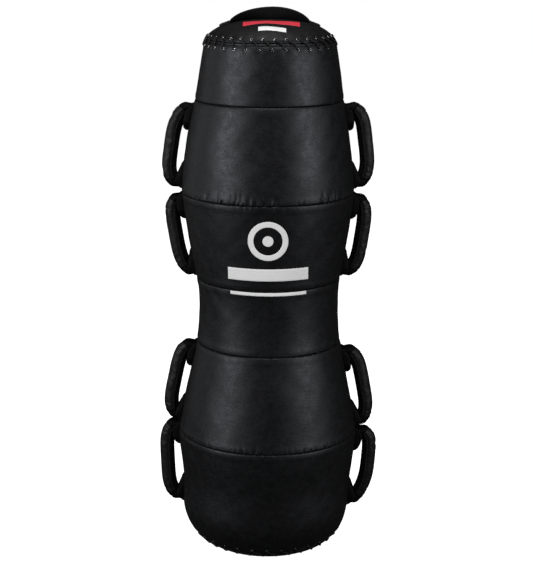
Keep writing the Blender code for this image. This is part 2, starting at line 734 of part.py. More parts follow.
def strap_rings():
    """The arch upright: rings from the right fold to the left one, in the axis's own frame."""
    rings = []
    for degrees in STRAP_STATIONS:
        turn = math.radians(degrees)
        rise = abs(math.sin(turn))
        centre = Vector((STRAP_HALF_SPAN * math.cos(turn), 0.0, STRAP_ARCH * rise))
        out = Vector((STRAP_ARCH * math.cos(turn), 0.0, STRAP_HALF_SPAN * math.sin(turn))).normalized()
        half = (STRAP_ROOT_WIDTH + (STRAP_WIDTH - STRAP_ROOT_WIDTH) * rise ** 2) / 2
        across = Vector((0.0, half, 0.0))
        lift = out * STRAP_THICKNESS / 2
        rings.append([centre - across - lift, centre + across - lift,
                      centre + across + lift, centre - across + lift])
    return rings


# Carrying strap: webbing sewn flat to the cap at both ends, its arch lying back on the dome
strap_axis = bpy.data.objects.new("carry_strap_axis", None)
bpy.context.scene.collection.objects.link(strap_axis)
strap_axis.location = (0.0, 0.0, STRAP_AXIS_HEIGHT)
strap_axis.rotation_euler = (-strap_lean(), 0.0, 0.0)
loft("carry_strap", strap_rings(), WEBBING, strap_axis)
print("carry strap axis height", round(STRAP_AXIS_HEIGHT, 5),
      "leans back", round(math.degrees(strap_lean()), 2), "degrees")

SEWN_START = STRAP_HALF_SPAN - STRAP_OVERLAP
SEWN_STOP = SEWN_START + STRAP_SEWN_LENGTH
SEWN_REACHES = [SEWN_START] + [corner.x for corner in dome_line()
                               if SEWN_START < corner.x < SEWN_STOP] + [SEWN_STOP]
for strap_side, strap_sign in (("left", -1), ("right", 1)):
    sewn_rings = []
    for sewn_reach in SEWN_REACHES:
        seat, normal = dome_at(sewn_reach)
        low = seat + normal * CLEARANCE
        high = low + normal * STRAP_THICKNESS
        half = STRAP_WIDTH / 2
        sewn_rings.append([in_world(low, strap_sign, -half), in_world(low, strap_sign, half),
                           in_world(high, strap_sign, half), in_world(high, strap_sign, -half)])
    loft("carry_strap_" + strap_side + "_end", sewn_rings, WEBBING)
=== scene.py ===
import math

import bpy
import numpy as np
from mathutils import Matrix, Vector


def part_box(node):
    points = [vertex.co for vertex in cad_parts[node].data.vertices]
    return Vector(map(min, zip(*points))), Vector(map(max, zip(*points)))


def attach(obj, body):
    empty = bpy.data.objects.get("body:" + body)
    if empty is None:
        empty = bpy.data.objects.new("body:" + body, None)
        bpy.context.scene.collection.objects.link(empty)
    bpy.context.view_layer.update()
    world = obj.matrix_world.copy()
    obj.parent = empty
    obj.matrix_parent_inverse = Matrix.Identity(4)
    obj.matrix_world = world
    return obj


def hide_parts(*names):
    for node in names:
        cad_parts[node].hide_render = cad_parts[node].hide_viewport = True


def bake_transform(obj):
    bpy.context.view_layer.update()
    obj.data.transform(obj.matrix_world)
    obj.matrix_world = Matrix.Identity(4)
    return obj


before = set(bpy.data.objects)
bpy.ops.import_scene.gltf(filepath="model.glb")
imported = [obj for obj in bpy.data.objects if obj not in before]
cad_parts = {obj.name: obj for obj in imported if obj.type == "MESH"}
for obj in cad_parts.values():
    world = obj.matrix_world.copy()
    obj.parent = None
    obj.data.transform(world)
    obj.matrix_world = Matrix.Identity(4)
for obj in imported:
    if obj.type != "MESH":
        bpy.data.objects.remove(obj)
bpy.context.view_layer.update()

# The camera stands where the photograph was taken from: about 3.25 m in front of the bag and
# 1.4 m up, looking 14 degrees down and rolled a fifth of a degree.
IMAGE_WIDTH, IMAGE_HEIGHT = 533, 583
FOCAL_PIXELS = 1500.0
SENSOR = 36.0
CAMERA_PLACE = (-0.0025, -3.254, 1.406)
CAMERA_LOOK_DOWN = math.radians(14.17)
CAMERA_ROLL = math.radians(0.20)
camera_data = bpy.data.cameras.new("camera")
camera_data.sensor_width = SENSOR
camera_data.lens = FOCAL_PIXELS * SENSOR / max(IMAGE_WIDTH, IMAGE_HEIGHT)
camera = bpy.data.objects.new("camera", camera_data)
camera.location = CAMERA_PLACE
camera.rotation_euler = (Matrix.Rotation(math.pi / 2 - CAMERA_LOOK_DOWN, 3, "X")
                         @ Matrix.Rotation(CAMERA_ROLL, 3, "Z")).to_euler()
bpy.context.scene.collection.objects.link(camera)
bpy.context.scene.camera = camera
bpy.context.scene.view_settings.view_transform = "Standard"

# The studio: a plain pale floor and a white surround. Two tall softboxes stand to the left and
# right of the camera, a weak one stands far round to the left, and a wide one hangs overhead.
FLOOR_SIZE = 12.0
FLOOR_COLOUR = (0.45, 0.45, 0.45, 1.0)
FLOOR_GLOW = 1.05
DIFFUSE_SURROUND = 0.29
GLOSSY_SURROUND = 0.022
SOFTBOXES = {
    # name: degrees round from the camera's side, distance, height, width, tall, strength in W
    "softbox_left": (-58, 2.9, 1.30, 0.60, 2.0, 54),
    "softbox_right": (56, 3.0, 1.30, 0.75, 2.0, 45),
    "softbox_side": (-112, 2.6, 1.10, 0.70, 2.0, 5),
}
SOFTBOX_TARGET = (0, 0, 0.72)
OVERHEAD_PLACE, OVERHEAD_TARGET = (0, -0.5, 3.3), (0, 0, 0.6)
OVERHEAD_SIZE, OVERHEAD_POWER = 1.6, 48


def feed(value, socket):
    """Give an input socket a plain value or another node's output."""
    if isinstance(value, Value):
        socket.id_data.links.new(value.socket, socket)
    else:
        socket.default_value = value


def node(tree, kind, inputs=None, output=0, **settings):
    """Add a shader node, set and feed it, and give one of its outputs."""
    made = tree.nodes.new(kind)
    for name, setting in settings.items():
        setattr(made, name, setting)
    for title, value in (inputs or {}).items():
        feed(value, made.inputs[title])
    return Value(made.outputs[output])


def reckon(operation, *operands):
    """A math node on values and plain numbers, in the values' tree."""
    tree = next(operand.socket.id_data for operand in operands if isinstance(operand, Value))
    return node(tree, "ShaderNodeMath", dict(enumerate(operands)), operation=operation)


class Value:
    """An output of a shader node. Arithmetic with it adds math nodes to its tree."""

    def __init__(self, socket):
        self.socket = socket

    def __add__(self, other):
        return reckon("ADD", self, other)

    def __sub__(self, other):
        return reckon("SUBTRACT", self, other)

    def __mul__(self, other):
        return reckon("MULTIPLY", self, other)

    def __truediv__(self, other):
        return reckon("DIVIDE", self, other)

    def __rtruediv__(self, other):
        return reckon("DIVIDE", other, self)

    def __pow__(self, other):
        return reckon("POWER", self, other)


def seen_directly(tree):
    """1 for rays that should show the white surround, from the camera or through glass, and 1 for
    mirrored rays."""
    camera_ray, glass_ray, mirrored_ray = (
        node(tree, "ShaderNodeLightPath", output=ray)
        for ray in ("Is Camera Ray", "Is Transmission Ray", "Is Glossy Ray"))
    return reckon("MAXIMUM", camera_ray, glass_ray), mirrored_ray


def add_floor():
    mesh = bpy.data.meshes.new("floor")
    half = FLOOR_SIZE / 2
    mesh.from_pydata([(-half, -half, 0), (half, -half, 0), (half, half, 0), (-half, half, 0)],
                     [], [(0, 1, 2, 3)])
    floor = bpy.data.objects.new("floor", mesh)
    bpy.context.scene.collection.objects.link(floor)
    material = bpy.data.materials.new("pale_floor")
    material.use_nodes = True
    tree = material.node_tree
    tree.nodes.clear()
    seen, mirrored = seen_directly(tree)
    matte = node(tree, "ShaderNodeBsdfDiffuse", {"Color": FLOOR_COLOUR})
    glow = node(tree, "ShaderNodeEmission", {"Strength": seen * FLOOR_GLOW})
    lit = node(tree, "ShaderNodeAddShader", {0: matte, 1: glow})
    dim = node(tree, "ShaderNodeEmission", {"Strength": GLOSSY_SURROUND})
    chosen = node(tree, "ShaderNodeMixShader", {0: mirrored, 1: lit, 2: dim})
    feed(chosen, tree.nodes.new("ShaderNodeOutputMaterial").inputs["Surface"])
    floor.data.materials.append(material)


def add_surround():
    world = bpy.data.worlds.new("surround")
    bpy.context.scene.world = world
    world.use_nodes = True
    tree = world.node_tree
    tree.nodes.clear()
    seen, mirrored = seen_directly(tree)
    level = node(tree, "ShaderNodeMix", {"Factor": mirrored, "A": DIFFUSE_SURROUND, "B": GLOSSY_SURROUND})
    white = node(tree, "ShaderNodeMix", {"Factor": seen, "A": level, "B": 1.0})
    background = node(tree, "ShaderNodeBackground", {"Color": (1, 1, 1, 1), "Strength": white})
    feed(background, tree.nodes.new("ShaderNodeOutputWorld").inputs["Surface"])


def add_softbox(name, place, target, width, tall, power):
    lamp = bpy.data.lights.new(name, "AREA")
    lamp.shape = "RECTANGLE"
    lamp.size = width
    lamp.size_y = tall
    lamp.energy = power
    softbox = bpy.data.objects.new(name, lamp)
    softbox.location = place
    softbox.rotation_euler = (Vector(target) - Vector(place)).to_track_quat("-Z", "Y").to_euler()
    bpy.context.scene.collection.objects.link(softbox)


add_floor()
add_surround()
for softbox_name, (turn, reach, height, *lamp) in SOFTBOXES.items():
    turn = math.radians(turn)
    add_softbox(softbox_name, (reach * math.sin(turn), -reach * math.cos(turn), height),
                SOFTBOX_TARGET, *lamp)
add_softbox("softbox_overhead", OVERHEAD_PLACE, OVERHEAD_TARGET, OVERHEAD_SIZE, OVERHEAD_SIZE,
            OVERHEAD_POWER)


# The shell: six rings of black synthetic leather, each sewn to the next with its edges turned
# in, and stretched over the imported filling. The leather swells a little between the seams, and
# gathers into upright puckers where a long edge was eased into a shorter one.
SHELL = "shell"
LEATHER = 0.003
SEAM_GAP = 0.00015
SEAM_ROUNDING = 0.0034
LACED_EDGE = 0.0062
COLUMNS = 512
ROW_HEIGHT = 0.004
EDGE_ROWS = (0.0018, 0.0036, 0.0056, 0.0078, 0.0102, 0.0128)
BACK_ROWS = 5
FRONT = -math.pi / 2
SWAY_LEAN, SWAY_REACH, SWAY_CREST, SWAY_LENGTH = 0.0009, 0.00115, 0.49, 0.72
SWAY_BENDS = ((-0.0024, 0.085, 0.055), (0.0021, 1.07, 0.085))
SWELLS = (
    # seed, how many waves, their height, and how many go to a turn and to a metre
    (11, 7, 0.0009, (2, 6)), (31, 12, 0.00022, (8, 24)))
SEAM_SWELL, SEAM_SWELL_PLACE, SEAM_SWELL_SPREAD = 0.0006, 0.010, 0.006
PUCKER_MARGIN, PUCKER_OPENING = 0.012, 0.03
PUCKER_WIDTH, PUCKER_LENGTH = (0.11, 0.23), (0.45, 1.5)
PUCKER_LEAN, PUCKER_STRENGTH = (-0.5, 0.5), (0.4, 1.0)
PUCKER_FLANKS, PUCKER_EVERYWHERE = 1.6, 0.35
PANELS = ("collar_panel", "chest_panel", "rib_panel", "waist_panel", "hip_panel", "base_panel")
RIM_RADIUS = 0.1405
SEAM_RADII = (RIM_RADIUS, 0.1609, 0.1892, 0.1598, 0.160, 0.2012)
CROWNS = (0.0016, 0.0046, 0.0017, -0.0050, 0.0016)
BASE_SIDE, BASE_EASE, TURN_IN, STANDING = 0.1905, 0.130, 0.105, 0.1111
FOOT_RIM_HEIGHT = 0.022
RIM_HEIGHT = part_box("collar_panel")[1][2] + 0.0003
EDGES = [RIM_HEIGHT] + [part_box(panel)[1][2] for panel in PANELS[1:]] + [FOOT_RIM_HEIGHT]


def base_radius(z):
    """The base panel eases in to its side, then rounds in to the flat it stands on."""
    ease = np.clip((EDGES[5] - z) / BASE_EASE, 0, 1)
    side = BASE_SIDE + (SEAM_RADII[5] - BASE_SIDE) * (1 + np.cos(np.pi * ease)) / 2
    depth = np.clip((TURN_IN - z) / TURN_IN, 0, 1)
    turned = STANDING + (BASE_SIDE - STANDING) * np.sqrt(1 - depth ** 2)
    return np.where(z < TURN_IN, turned, side)


def plain_radius(index, z):
    """A panel's radius at a height, without its seams, swells and creases."""
    if index == len(PANELS) - 1:
        return base_radius(z)
    share = (EDGES[index] - z) / (EDGES[index] - EDGES[index + 1])
    straight = SEAM_RADII[index] + (SEAM_RADII[index + 1] - SEAM_RADII[index]) * share
    return straight + CROWNS[index] * 4 * share * (1 - share)


def waves(seed, count, around, up, angle, z):
    """Soft irregular waves that close round the bag. Around and up give the ranges of waves to
    a turn and of waves to a metre."""
    random = np.random.default_rng(seed)
    total = 0.0
    for _ in range(count):
        turns = random.integers(around[0], around[1] + 1)
        climb = random.uniform(*up) * random.choice((-1, 1)) * math.tau
        total = total + np.cos(turns * angle + climb * z + random.uniform(0, math.tau))
    return total / math.sqrt(count)


def turn_between(angle, start):
    """How far an angle is round from another, within half a turn either way."""
    return (angle - start + math.pi) % math.tau - math.pi


def puckers(seed, count, depth, reach, clusters, angle, distance, radius):
    """Upright creases that run out from a seam. Clusters are the (angle, spread, gain) of places
    where they deepen."""
    random = np.random.default_rng(seed)
    total = 0.0
    for _ in range(count):
        at = random.uniform(-math.pi, math.pi)
        width = (reach + PUCKER_MARGIN) * random.uniform(*PUCKER_WIDTH)
        length = reach * random.uniform(*PUCKER_LENGTH)
        lean = random.uniform(*PUCKER_LEAN)
        strength = depth * random.uniform(*PUCKER_STRENGTH)
        strength *= PUCKER_EVERYWHERE + sum(gain * math.exp(-(turn_between(at, middle) / spread) ** 2)
                                            for middle, spread, gain in clusters)
        offset = turn_between(angle, at) * radius
        across = (offset - lean * distance) / (width * (1 + distance / PUCKER_OPENING))
        crease = (PUCKER_FLANKS * across ** 2 - 1) * np.exp(-across ** 2)
        total = total + strength * crease * np.exp(-(distance / length) ** 2)
    return total


EYELETS = 32
PITCH = math.tau / EYELETS
TOP_LACE_TURN = math.radians(2.0)
TOP_SLANT, TOP_SLANT_DRIFT = 0.70, 0.38
FOOT_SLANT = 0.75
CAP_EYELET_INSET = 0.0078
FOOT_EYELET_INSET = 0.0102
PANEL_EYELET_INSET = 0.0135
RIM_DRAWN_IN = 0.0034
RIM_SPREAD = 0.0075
LACE_DIP, LACE_DIP_LEVEL = 0.0011, 0.4
GATHERS = {
    # panel: for its top and bottom edge the count, depth, reach and clusters of its creases
    "collar_panel": ((64, 0.0005, 0.020, ()), (40, 0.0003, 0.014, ())),
    "chest_panel": ((40, 0.0002, 0.014, ()),
                    (150, 0.0017, 0.013,
                     ((FRONT - 0.60, 0.40, 0.8), (FRONT + 0.45, 0.60, 0.8), (1.3, 0.6, 0.8)))),
    "rib_panel": ((130, 0.0007, 0.008, ((FRONT, 0.8, 0.5),)), (40, 0.0003, 0.014, ())),
    "waist_panel": ((50, 0.0005, 0.040, ((FRONT - 1.0, 0.4, 1.0), (FRONT + 1.0, 0.4, 0.8))),
                    (50, 0.0004, 0.020, ())),
    "hip_panel": ((40, 0.0003, 0.016, ()),
                  (150, 0.0015, 0.008, ((FRONT - 0.45, 0.45, 0.8), (FRONT + 0.5, 0.45, 0.8)))),
    "base_panel": ((60, 0.0004, 0.016, ()), (80, 0.0009, 0.028, ())),
}


def lace_slant(name, angle):
    """How far the lace slants at a wall's eyelet, in turns. By hand it came out uneven on top."""
    if name in ("base", "foot"):
        return FOOT_SLANT
    return TOP_SLANT + TOP_SLANT_DRIFT * np.sin(angle - FRONT)


def lace_count(name, angle):
    """Turns of lace up to an angle; whole numbers are a wall's eyelets."""
    count = (angle - TOP_LACE_TURN * (name in ("cap", "collar"))) / PITCH
    return count + lace_slant(name, angle) * ((name == "cap") - (name == "foot"))


def laced_dip(distance, inset, name, angle):
    """How far a laced edge is drawn in round its eyelets, at a distance from the rim."""
    spot = (1 + np.cos(lace_count(name, angle) * math.tau)) / 2
    return LACE_DIP * (spot ** 2 - LACE_DIP_LEVEL) * np.exp(-((distance - inset) / RIM_SPREAD) ** 2)


def shell_radius(index, angle, z):
    """The finished leather's distance from the bag's axis, at an angle round it and a height."""
    high, low = EDGES[index], EDGES[index + 1]
    radius = plain = plain_radius(index, z)
    share = (high - z) / (high - low)
    held = np.sqrt(np.clip(4 * share * (1 - share), 0, 1))
    for seed, count, size, many in SWELLS:
        radius = radius + held * size * waves(seed + index, count, many, many, angle, z)
    for edge, (count, depth, reach, clusters) in enumerate(GATHERS[PANELS[index]]):
        distance = z - low if edge else high - z
        radius = radius + puckers(100 + 2 * index + edge, count, depth, reach, clusters,
                                  angle, distance, plain)
        if (edge, index) in ((0, 0), (1, len(PANELS) - 1)):
            name = "base" if edge else "collar"
            radius = radius - laced_dip(distance, PANEL_EYELET_INSET, name, angle)
            radius = radius - RIM_DRAWN_IN * np.exp(-(distance / RIM_SPREAD) ** 2)
        else:
            rounding = np.clip(1 - distance / SEAM_ROUNDING, 0, 1)
            radius = radius - SEAM_ROUNDING * (1 - np.sqrt(1 - rounding ** 2))
            radius = radius + SEAM_SWELL * np.exp(-((distance - SEAM_SWELL_PLACE)
                                                    / SEAM_SWELL_SPREAD) ** 2)
    return radius


def sway(z):
    """How far a packed bag wavers from a straight axis at a height. It is never quite true."""
    wave = SWAY_LEAN + SWAY_REACH * np.cos((z - SWAY_CREST) / SWAY_LENGTH * math.tau)
    return wave + sum(shift * np.exp(-((z - height) / reach) ** 2) for shift, height, reach in SWAY_BENDS)


def add_mesh(name, points, faces, uvs=None):
    """Make a smooth mesh object, wavering with the bag. Uvs holds a pair in metres for each point."""
    mesh = bpy.data.meshes.new(name)
    places = np.array([tuple(point) for point in points])
    places[:, 0] += sway(places[:, 2])
    mesh.from_pydata(places.tolist(), [], faces)
    if uvs is not None:
        corners = np.empty(len(mesh.loops), dtype=np.int32)
        mesh.loops.foreach_get("vertex_index", corners)
        layer = mesh.uv_layers.new(name="metres")
        layer.data.foreach_set("uv", np.asarray(uvs, dtype=np.float32)[corners].ravel())
    mesh.shade_smooth()
    piece = bpy.data.objects.new(name, mesh)
    bpy.context.scene.collection.objects.link(piece)
    return piece


def dress(piece, material, nodes=(), bind=None):
    """Give a piece its material, and hide the nodes that it stands for. It rides on the
    shell where bind doesn't say otherwise."""
    piece.data.materials.append(material)
    if nodes:
        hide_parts(*nodes)
    if bind:
        bind(piece)
    else:
        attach(piece, SHELL)
    return piece


def turns(count):
    """Angles round a full turn, as a row."""
    return np.arange(count)[None, :] * math.tau / count


def grid_faces(rows, columns, round_rows=False, round_columns=True):
    """Quads of a grid stored row by row. They face out where the rows go down and the columns
    go round counterclockwise seen from above."""
    faces = []
    for row in range(rows if round_rows else rows - 1):
        first, second = row * columns, (row + 1) % rows * columns
        for column in range(columns if round_columns else columns - 1):
            after = (column + 1) % columns
            faces.append((first + column, second + column, second + after, first + after))
    return faces


def shifted(faces, start):
    return [tuple(start + corner for corner in face) for face in faces]


def tube_faces(rows, columns):
    """The quads of a round grid, and a flat face at each end."""
    return grid_faces(rows, columns) + [
        tuple(range(columns)), tuple(range(rows * columns - 1, (rows - 1) * columns - 1, -1))]


def closed_faces(rows, columns):
    """The quads of a round grid, and fans that close it on two more points, above and below."""
    faces, above = grid_faces(rows, columns), rows * columns
    for column in range(columns):
        after = (column + 1) % columns
        faces.append((above, column, after))
        faces.append((above + 1, above - columns + after, above - columns + column))
    return faces


def ring_points(radius, angle, z):
    radius, angle, z = np.broadcast_arrays(radius, angle, z)
    return np.stack((radius * np.cos(angle), radius * np.sin(angle), z), axis=-1).reshape(-1, 3)


TURN = turns(COLUMNS)
TURNED_ROWS = SEAM_ROUNDING * np.array((0, 0.08, 0.25, 0.5, 1.0))
CLOSE_ROWS = SEAM_ROUNDING + np.array(EDGE_ROWS)


def add_panel(index):
    """One ring of leather: its outer face, its two turned edges and its back."""
    top = EDGES[index] - (SEAM_GAP if index > 0 else LACED_EDGE)
    bottom = EDGES[index + 1] + (SEAM_GAP if index < len(PANELS) - 1 else LACED_EDGE)
    count = int((top - bottom - 2 * CLOSE_ROWS[-1]) / ROW_HEIGHT)
    middle = np.linspace(top - CLOSE_ROWS[-1], bottom + CLOSE_ROWS[-1], count)[1:-1]
    z = np.concatenate((top - TURNED_ROWS, top - CLOSE_ROWS, middle, bottom + CLOSE_ROWS[::-1],
                        bottom + TURNED_ROWS[::-1]))[:, None]
    outer = shell_radius(index, TURN, z)
    back_z = np.linspace(bottom + LEATHER / 2, top - LEATHER / 2, BACK_ROWS)[:, None]
    back = plain_radius(index, back_z) - 2 * LEATHER + 0 * TURN
    points = np.concatenate((ring_points(outer, TURN, z), ring_points(back, TURN, back_z)))
    faces = grid_faces(len(z) + BACK_ROWS, COLUMNS, round_rows=True)
    dress(add_mesh(PANELS[index] + "_leather", points, faces), shell_leather,
          [PANELS[index]])


EFFECT_OUTPUTS = {"Colour": "NodeSocketColor", "Roughness": "NodeSocketFloat",
                  "Height": "NodeSocketFloat"}


class Effect:
    """A material's look as a node group. Its given values go in by name, sizes and depths in
    metres, and its colour, roughness and height come out."""

    def __init__(self, name, given):
        self.tree = bpy.data.node_groups.new(name, "ShaderNodeTree")
        for title, value in given.items():
            kind = "NodeSocketColor" if isinstance(value, tuple) else "NodeSocketFloat"
            socket = self.tree.interface.new_socket(title, in_out="INPUT", socket_type=kind)
            socket.default_value = value
        for title, kind in EFFECT_OUTPUTS.items():
            self.tree.interface.new_socket(title, in_out="OUTPUT", socket_type=kind)
        self.given = self.tree.nodes.new("NodeGroupInput")
        self.made = self.tree.nodes.new("NodeGroupOutput")
        self.place = node(self.tree, "ShaderNodeTexCoord", output="Object")

    def __getitem__(self, title):
        return Value(self.given.outputs[title])

    def noise(self, scale, detail=3.0, roughness=0.5, place=None):
        return node(self.tree, "ShaderNodeTexNoise", {"Vector": place or self.place, "Scale": scale,
                                                      "Detail": detail, "Roughness": roughness})

    def cells(self, size, output=0, **settings):
        return node(self.tree, "ShaderNodeTexVoronoi", {"Vector": self.place, "Scale": 1.0 / self[size]},
                    output, **settings)

    def threads(self, across, along):
        """The place on a woven piece by its UVs, in threads across it and along it."""
        split = self.tree.nodes.new("ShaderNodeSeparateXYZ")
        feed(node(self.tree, "ShaderNodeUVMap"), split.inputs[0])
        return Value(split.outputs[0]) / self[across], Value(split.outputs[1]) / self[along]

    def gloss(self, share):
        return share * (self["Gloss high"] - self["Gloss low"]) + self["Gloss low"]

    def finish(self, shade, roughness, height, first="Dark", last="Light"):
        """Feed the outputs, with a colour between two of the given ones, and give the group."""
        colour = node(self.tree, "ShaderNodeMix", {0: shade, 6: self[first], 7: self[last]}, 2,
                      data_type="RGBA")
        for title, value in zip(EFFECT_OUTPUTS, (colour, roughness, height)):
            feed(value, self.made.inputs[title])
        return self.tree


def ribs(value):
    """A row of rounded ribs, one to each whole number."""
    return reckon("ABSOLUTE", reckon("SINE", value * math.pi))


CREASE_FLATNESS = 3.2
CLOUD_CONTRAST, WRINKLE_CONTRAST = 2.4, 1.6
PEBBLE_TOP = 0.35


def make_leather_group():
    """Synthetic leather: fine pebbles, soft clouds where the backing shows through as slow
    changes of gloss, and shallow level creases and streaks from the stretch."""
    effect = Effect("synthetic_leather", {
        "Pebble": 0.0011, "Pebble depth": 0.00005, "Cloud": 0.013, "Cloud depth": 0.00018,
        "Crease": 0.016, "Crease depth": 0.00022, "Streak": 0.0075, "Streak depth": 0.00017,
        "Gloss low": 0.44, "Gloss high": 0.55,
        "Dark": (0.0018, 0.0018, 0.0020, 1), "Light": (0.0034, 0.0035, 0.0039, 1)})
    flattened = node(effect.tree, "ShaderNodeVectorMath", {0: effect.place, 1: (1.0, 1.0, CREASE_FLATNESS)},
                     operation="MULTIPLY")
    pebble = reckon("MINIMUM", effect.cells("Pebble", feature="DISTANCE_TO_EDGE"), PEBBLE_TOP) ** 0.5
    fine = effect.noise(1.0 / effect["Pebble"] * 2.5, 2.0)
    cloud = effect.noise(1.0 / effect["Cloud"], 4.0, 0.55)
    wide = effect.noise(1.0 / effect["Cloud"] * 0.3, 2.0)
    crease = effect.noise(1.0 / effect["Crease"], 5.0, 0.62, flattened)
    streak = effect.noise(1.0 / effect["Streak"], 3.0, 0.6, flattened)
    spread = ((cloud - 0.5) * CLOUD_CONTRAST + 0.5 + (wide - 0.5)
              + (crease - 0.5) * WRINKLE_CONTRAST + (streak - 0.5) * WRINKLE_CONTRAST)
    share = reckon("MINIMUM", reckon("MAXIMUM", spread, 0.0), 1.0)
    height = ((fine * 0.4 + pebble) * effect["Pebble depth"] + cloud * effect["Cloud depth"]
              + crease * effect["Crease depth"] + streak * effect["Streak depth"])
    return effect.finish(share * fine, effect.gloss(share), height)


LEATHER_GROUP = make_leather_group()


def surface(name, group, specular, values=None, **plain):
    """A material from an effect's group: its colour, roughness and height feed one shader. Plain
    holds constants for the shader's own sockets."""
    material = bpy.data.materials.new(name)
    material.use_nodes = True
    tree = material.node_tree
    shader = tree.nodes["Principled BSDF"]
    shader.inputs["Specular IOR Level"].default_value = specular
    for title, value in plain.items():
        shader.inputs[title.replace("_", " ")].default_value = value
    effect = tree.nodes.new("ShaderNodeGroup")
    effect.node_tree = group
    for title, value in (values or {}).items():
        effect.inputs[title].default_value = value
    colour, roughness, height = (Value(effect.outputs[title]) for title in EFFECT_OUTPUTS)
    bump = node(tree, "ShaderNodeBump", {"Height": height, "Distance": 1.0, "Strength": 1.0})
    feed(bump, shader.inputs["Normal"])
    feed(roughness, shader.inputs["Roughness"])
    feed(colour, shader.inputs["Base Color"])
    return material


COOL_SHEEN = (0.90, 0.93, 1.0, 1.0)
shell_leather = surface("shell_leather", LEATHER_GROUP, 0.385, Specular_Tint=COOL_SHEEN)
for panel_index in range(len(PANELS)):
    add_panel(panel_index)


# The end caps: discs of the same leather. The top one is domed over the filling, with drag
# wrinkles that fan out to its rim. The bottom one is stiffer, and flat where the bag stands.
CAP_EDGE = RIM_RADIUS - RIM_DRAWN_IN
CAP_SHOULDER, CAP_SHARPNESS = 3.0, 0.7
CAP_RISE = 0.040
CAP_RINGS = 48
CAP_WRINKLES = 46
CAP_CLUSTERS = ((FRONT - 0.6, 0.5, 0.9), (FRONT + 0.9, 0.5, 0.7), (1.6, 1.0, 0.5))
STANDING_RINGS = 30
FOOT_RINGS = 12
CAP_FAN_DEPTH, CAP_FAN_REACH = 0.0006, 0.045
CAP_SOFTNESS, FOOT_SOFTNESS = 0.0008, 0.0006
CAP_LOWEST = LACED_EDGE * 0.7
BACK_SET_IN = LEATHER * 0.4
BACK_EVERY = 6


def add_disc(name, radii, heights, middle, back_drop, flipped=False):
    """A round skin from rings, closed at its middle, with a plain back a leather away."""
    skipped = slice(None, None, -BACK_EVERY)
    outer = ring_points(radii, TURN, heights)
    lip = ring_points(radii[-1:] - BACK_SET_IN, TURN, heights[-1:] + back_drop)
    back = ring_points(radii[skipped, :1] - BACK_SET_IN, TURN, heights[skipped, :1] + back_drop)
    points = np.concatenate((outer, lip, back, [middle], [(0, 0, middle[2] + back_drop)]))
    faces = closed_faces(len(radii) + 1 + len(radii[skipped]), COLUMNS)
    return add_mesh(name, points, [face[::-1] for face in faces] if flipped else faces)


def cap_height(radius, angle):
    """The finished height of the top cap's leather."""
    out = radius / CAP_EDGE
    rise = CAP_RISE * (1 - out ** CAP_SHOULDER) ** CAP_SHARPNESS
    fan = puckers(7, CAP_WRINKLES, CAP_FAN_DEPTH, CAP_FAN_REACH, CAP_CLUSTERS, angle,
                  RIM_RADIUS - radius, radius)
    soft = CAP_SOFTNESS * waves(5, 9, (2, 7), (0, 0), angle, 0) * np.sin(math.pi * out ** 2)
    return RIM_HEIGHT + rise + fan * out ** 2 + soft - laced_dip(rise, CAP_EYELET_INSET, "cap", angle)


def cap_reach(rise):
    """The dome's radius at a height above its rim."""
    return CAP_EDGE * (1 - (rise / CAP_RISE) ** (1 / CAP_SHARPNESS)) ** (1 / CAP_SHOULDER)


def add_top_cap():
    """The dome ends under its hem, a few millimetres above the rim."""
    rising = np.linspace(math.pi / 2, math.asin(CAP_LOWEST / CAP_RISE), CAP_RINGS + 1)[1:, None]
    radius = cap_reach(CAP_RISE * np.sin(rising)) + 0 * TURN
    height = cap_height(radius, TURN)
    cap = add_disc("top_cap_leather", radius, height, (0, 0, RIM_HEIGHT + CAP_RISE), -LEATHER)
    leather = surface("cap_leather", LEATHER_GROUP, 0.20, {
        "Cloud": 0.012, "Gloss low": 0.50, "Gloss high": 0.62,
        "Dark": (0.0024, 0.0024, 0.0026, 1), "Light": (0.0048, 0.0048, 0.0052, 1)})
    dress(cap, leather, ["top_cap"])


def add_bottom_cap():
    """The flat it stands on turns up round the foot, to just below the lower rim."""
    flat = np.linspace(0, STANDING, STANDING_RINGS + 1)[1:]
    climb = np.linspace(0, FOOT_RIM_HEIGHT - CAP_LOWEST, FOOT_RINGS + 1)[1:]
    radius = np.concatenate((flat, base_radius(climb)))[:, None] + 0 * TURN
    rise = np.concatenate((0 * flat, climb))[:, None]
    worn = np.clip((radius - STANDING * 0.8) / STANDING, 0, 1)
    soft = FOOT_SOFTNESS * worn * waves(9, 9, (3, 14), (0, 0), TURN, rise)
    cap = add_disc("bottom_cap_leather", radius, rise + np.maximum(0, soft), (0, 0, 0), LEATHER,
                   flipped=True)
    leather = surface("bottom_leather", LEATHER_GROUP, 0.3, {
        "Pebble": 0.0016, "Pebble depth": 0.00012, "Gloss low": 0.5, "Gloss high": 0.65})
    dress(cap, leather, ["bottom_cap"])


add_top_cap()
add_bottom_cap()


# Each rim is two rolled hems side by side: a panel's and a cap's. The edge is turned over a
# cord and glued down, so it stands as a round bead that the lace pulls in at every crossing.
HEM_RADIUS = 0.003
HEM_GAP = 0.0006
HEM_SET_IN = {"cap": 0.0034, "collar": 0.0034, "base": 0.0040, "foot": 0.0040}
HEM_PINCH = {"cap": 0.09, "collar": 0.09, "base": 0.20, "foot": 0.20}
HEM_FULLNESS, HEM_UNEVENNESS = 1.03, 0.00012
HEM_SIDES = 12
HEM_SPAN = 0.0063
LACE_CROSSING = 0.30


def cap_line(rise):
    return Vector((cap_reach(rise), RIM_HEIGHT + rise))


def collar_line(drop):
    drawn = RIM_DRAWN_IN * math.exp(-(drop / RIM_SPREAD) ** 2)
    return Vector((float(plain_radius(0, RIM_HEIGHT - drop)) - drawn, RIM_HEIGHT - drop))


def foot_line(height):
    return Vector((float(base_radius(height)), height))


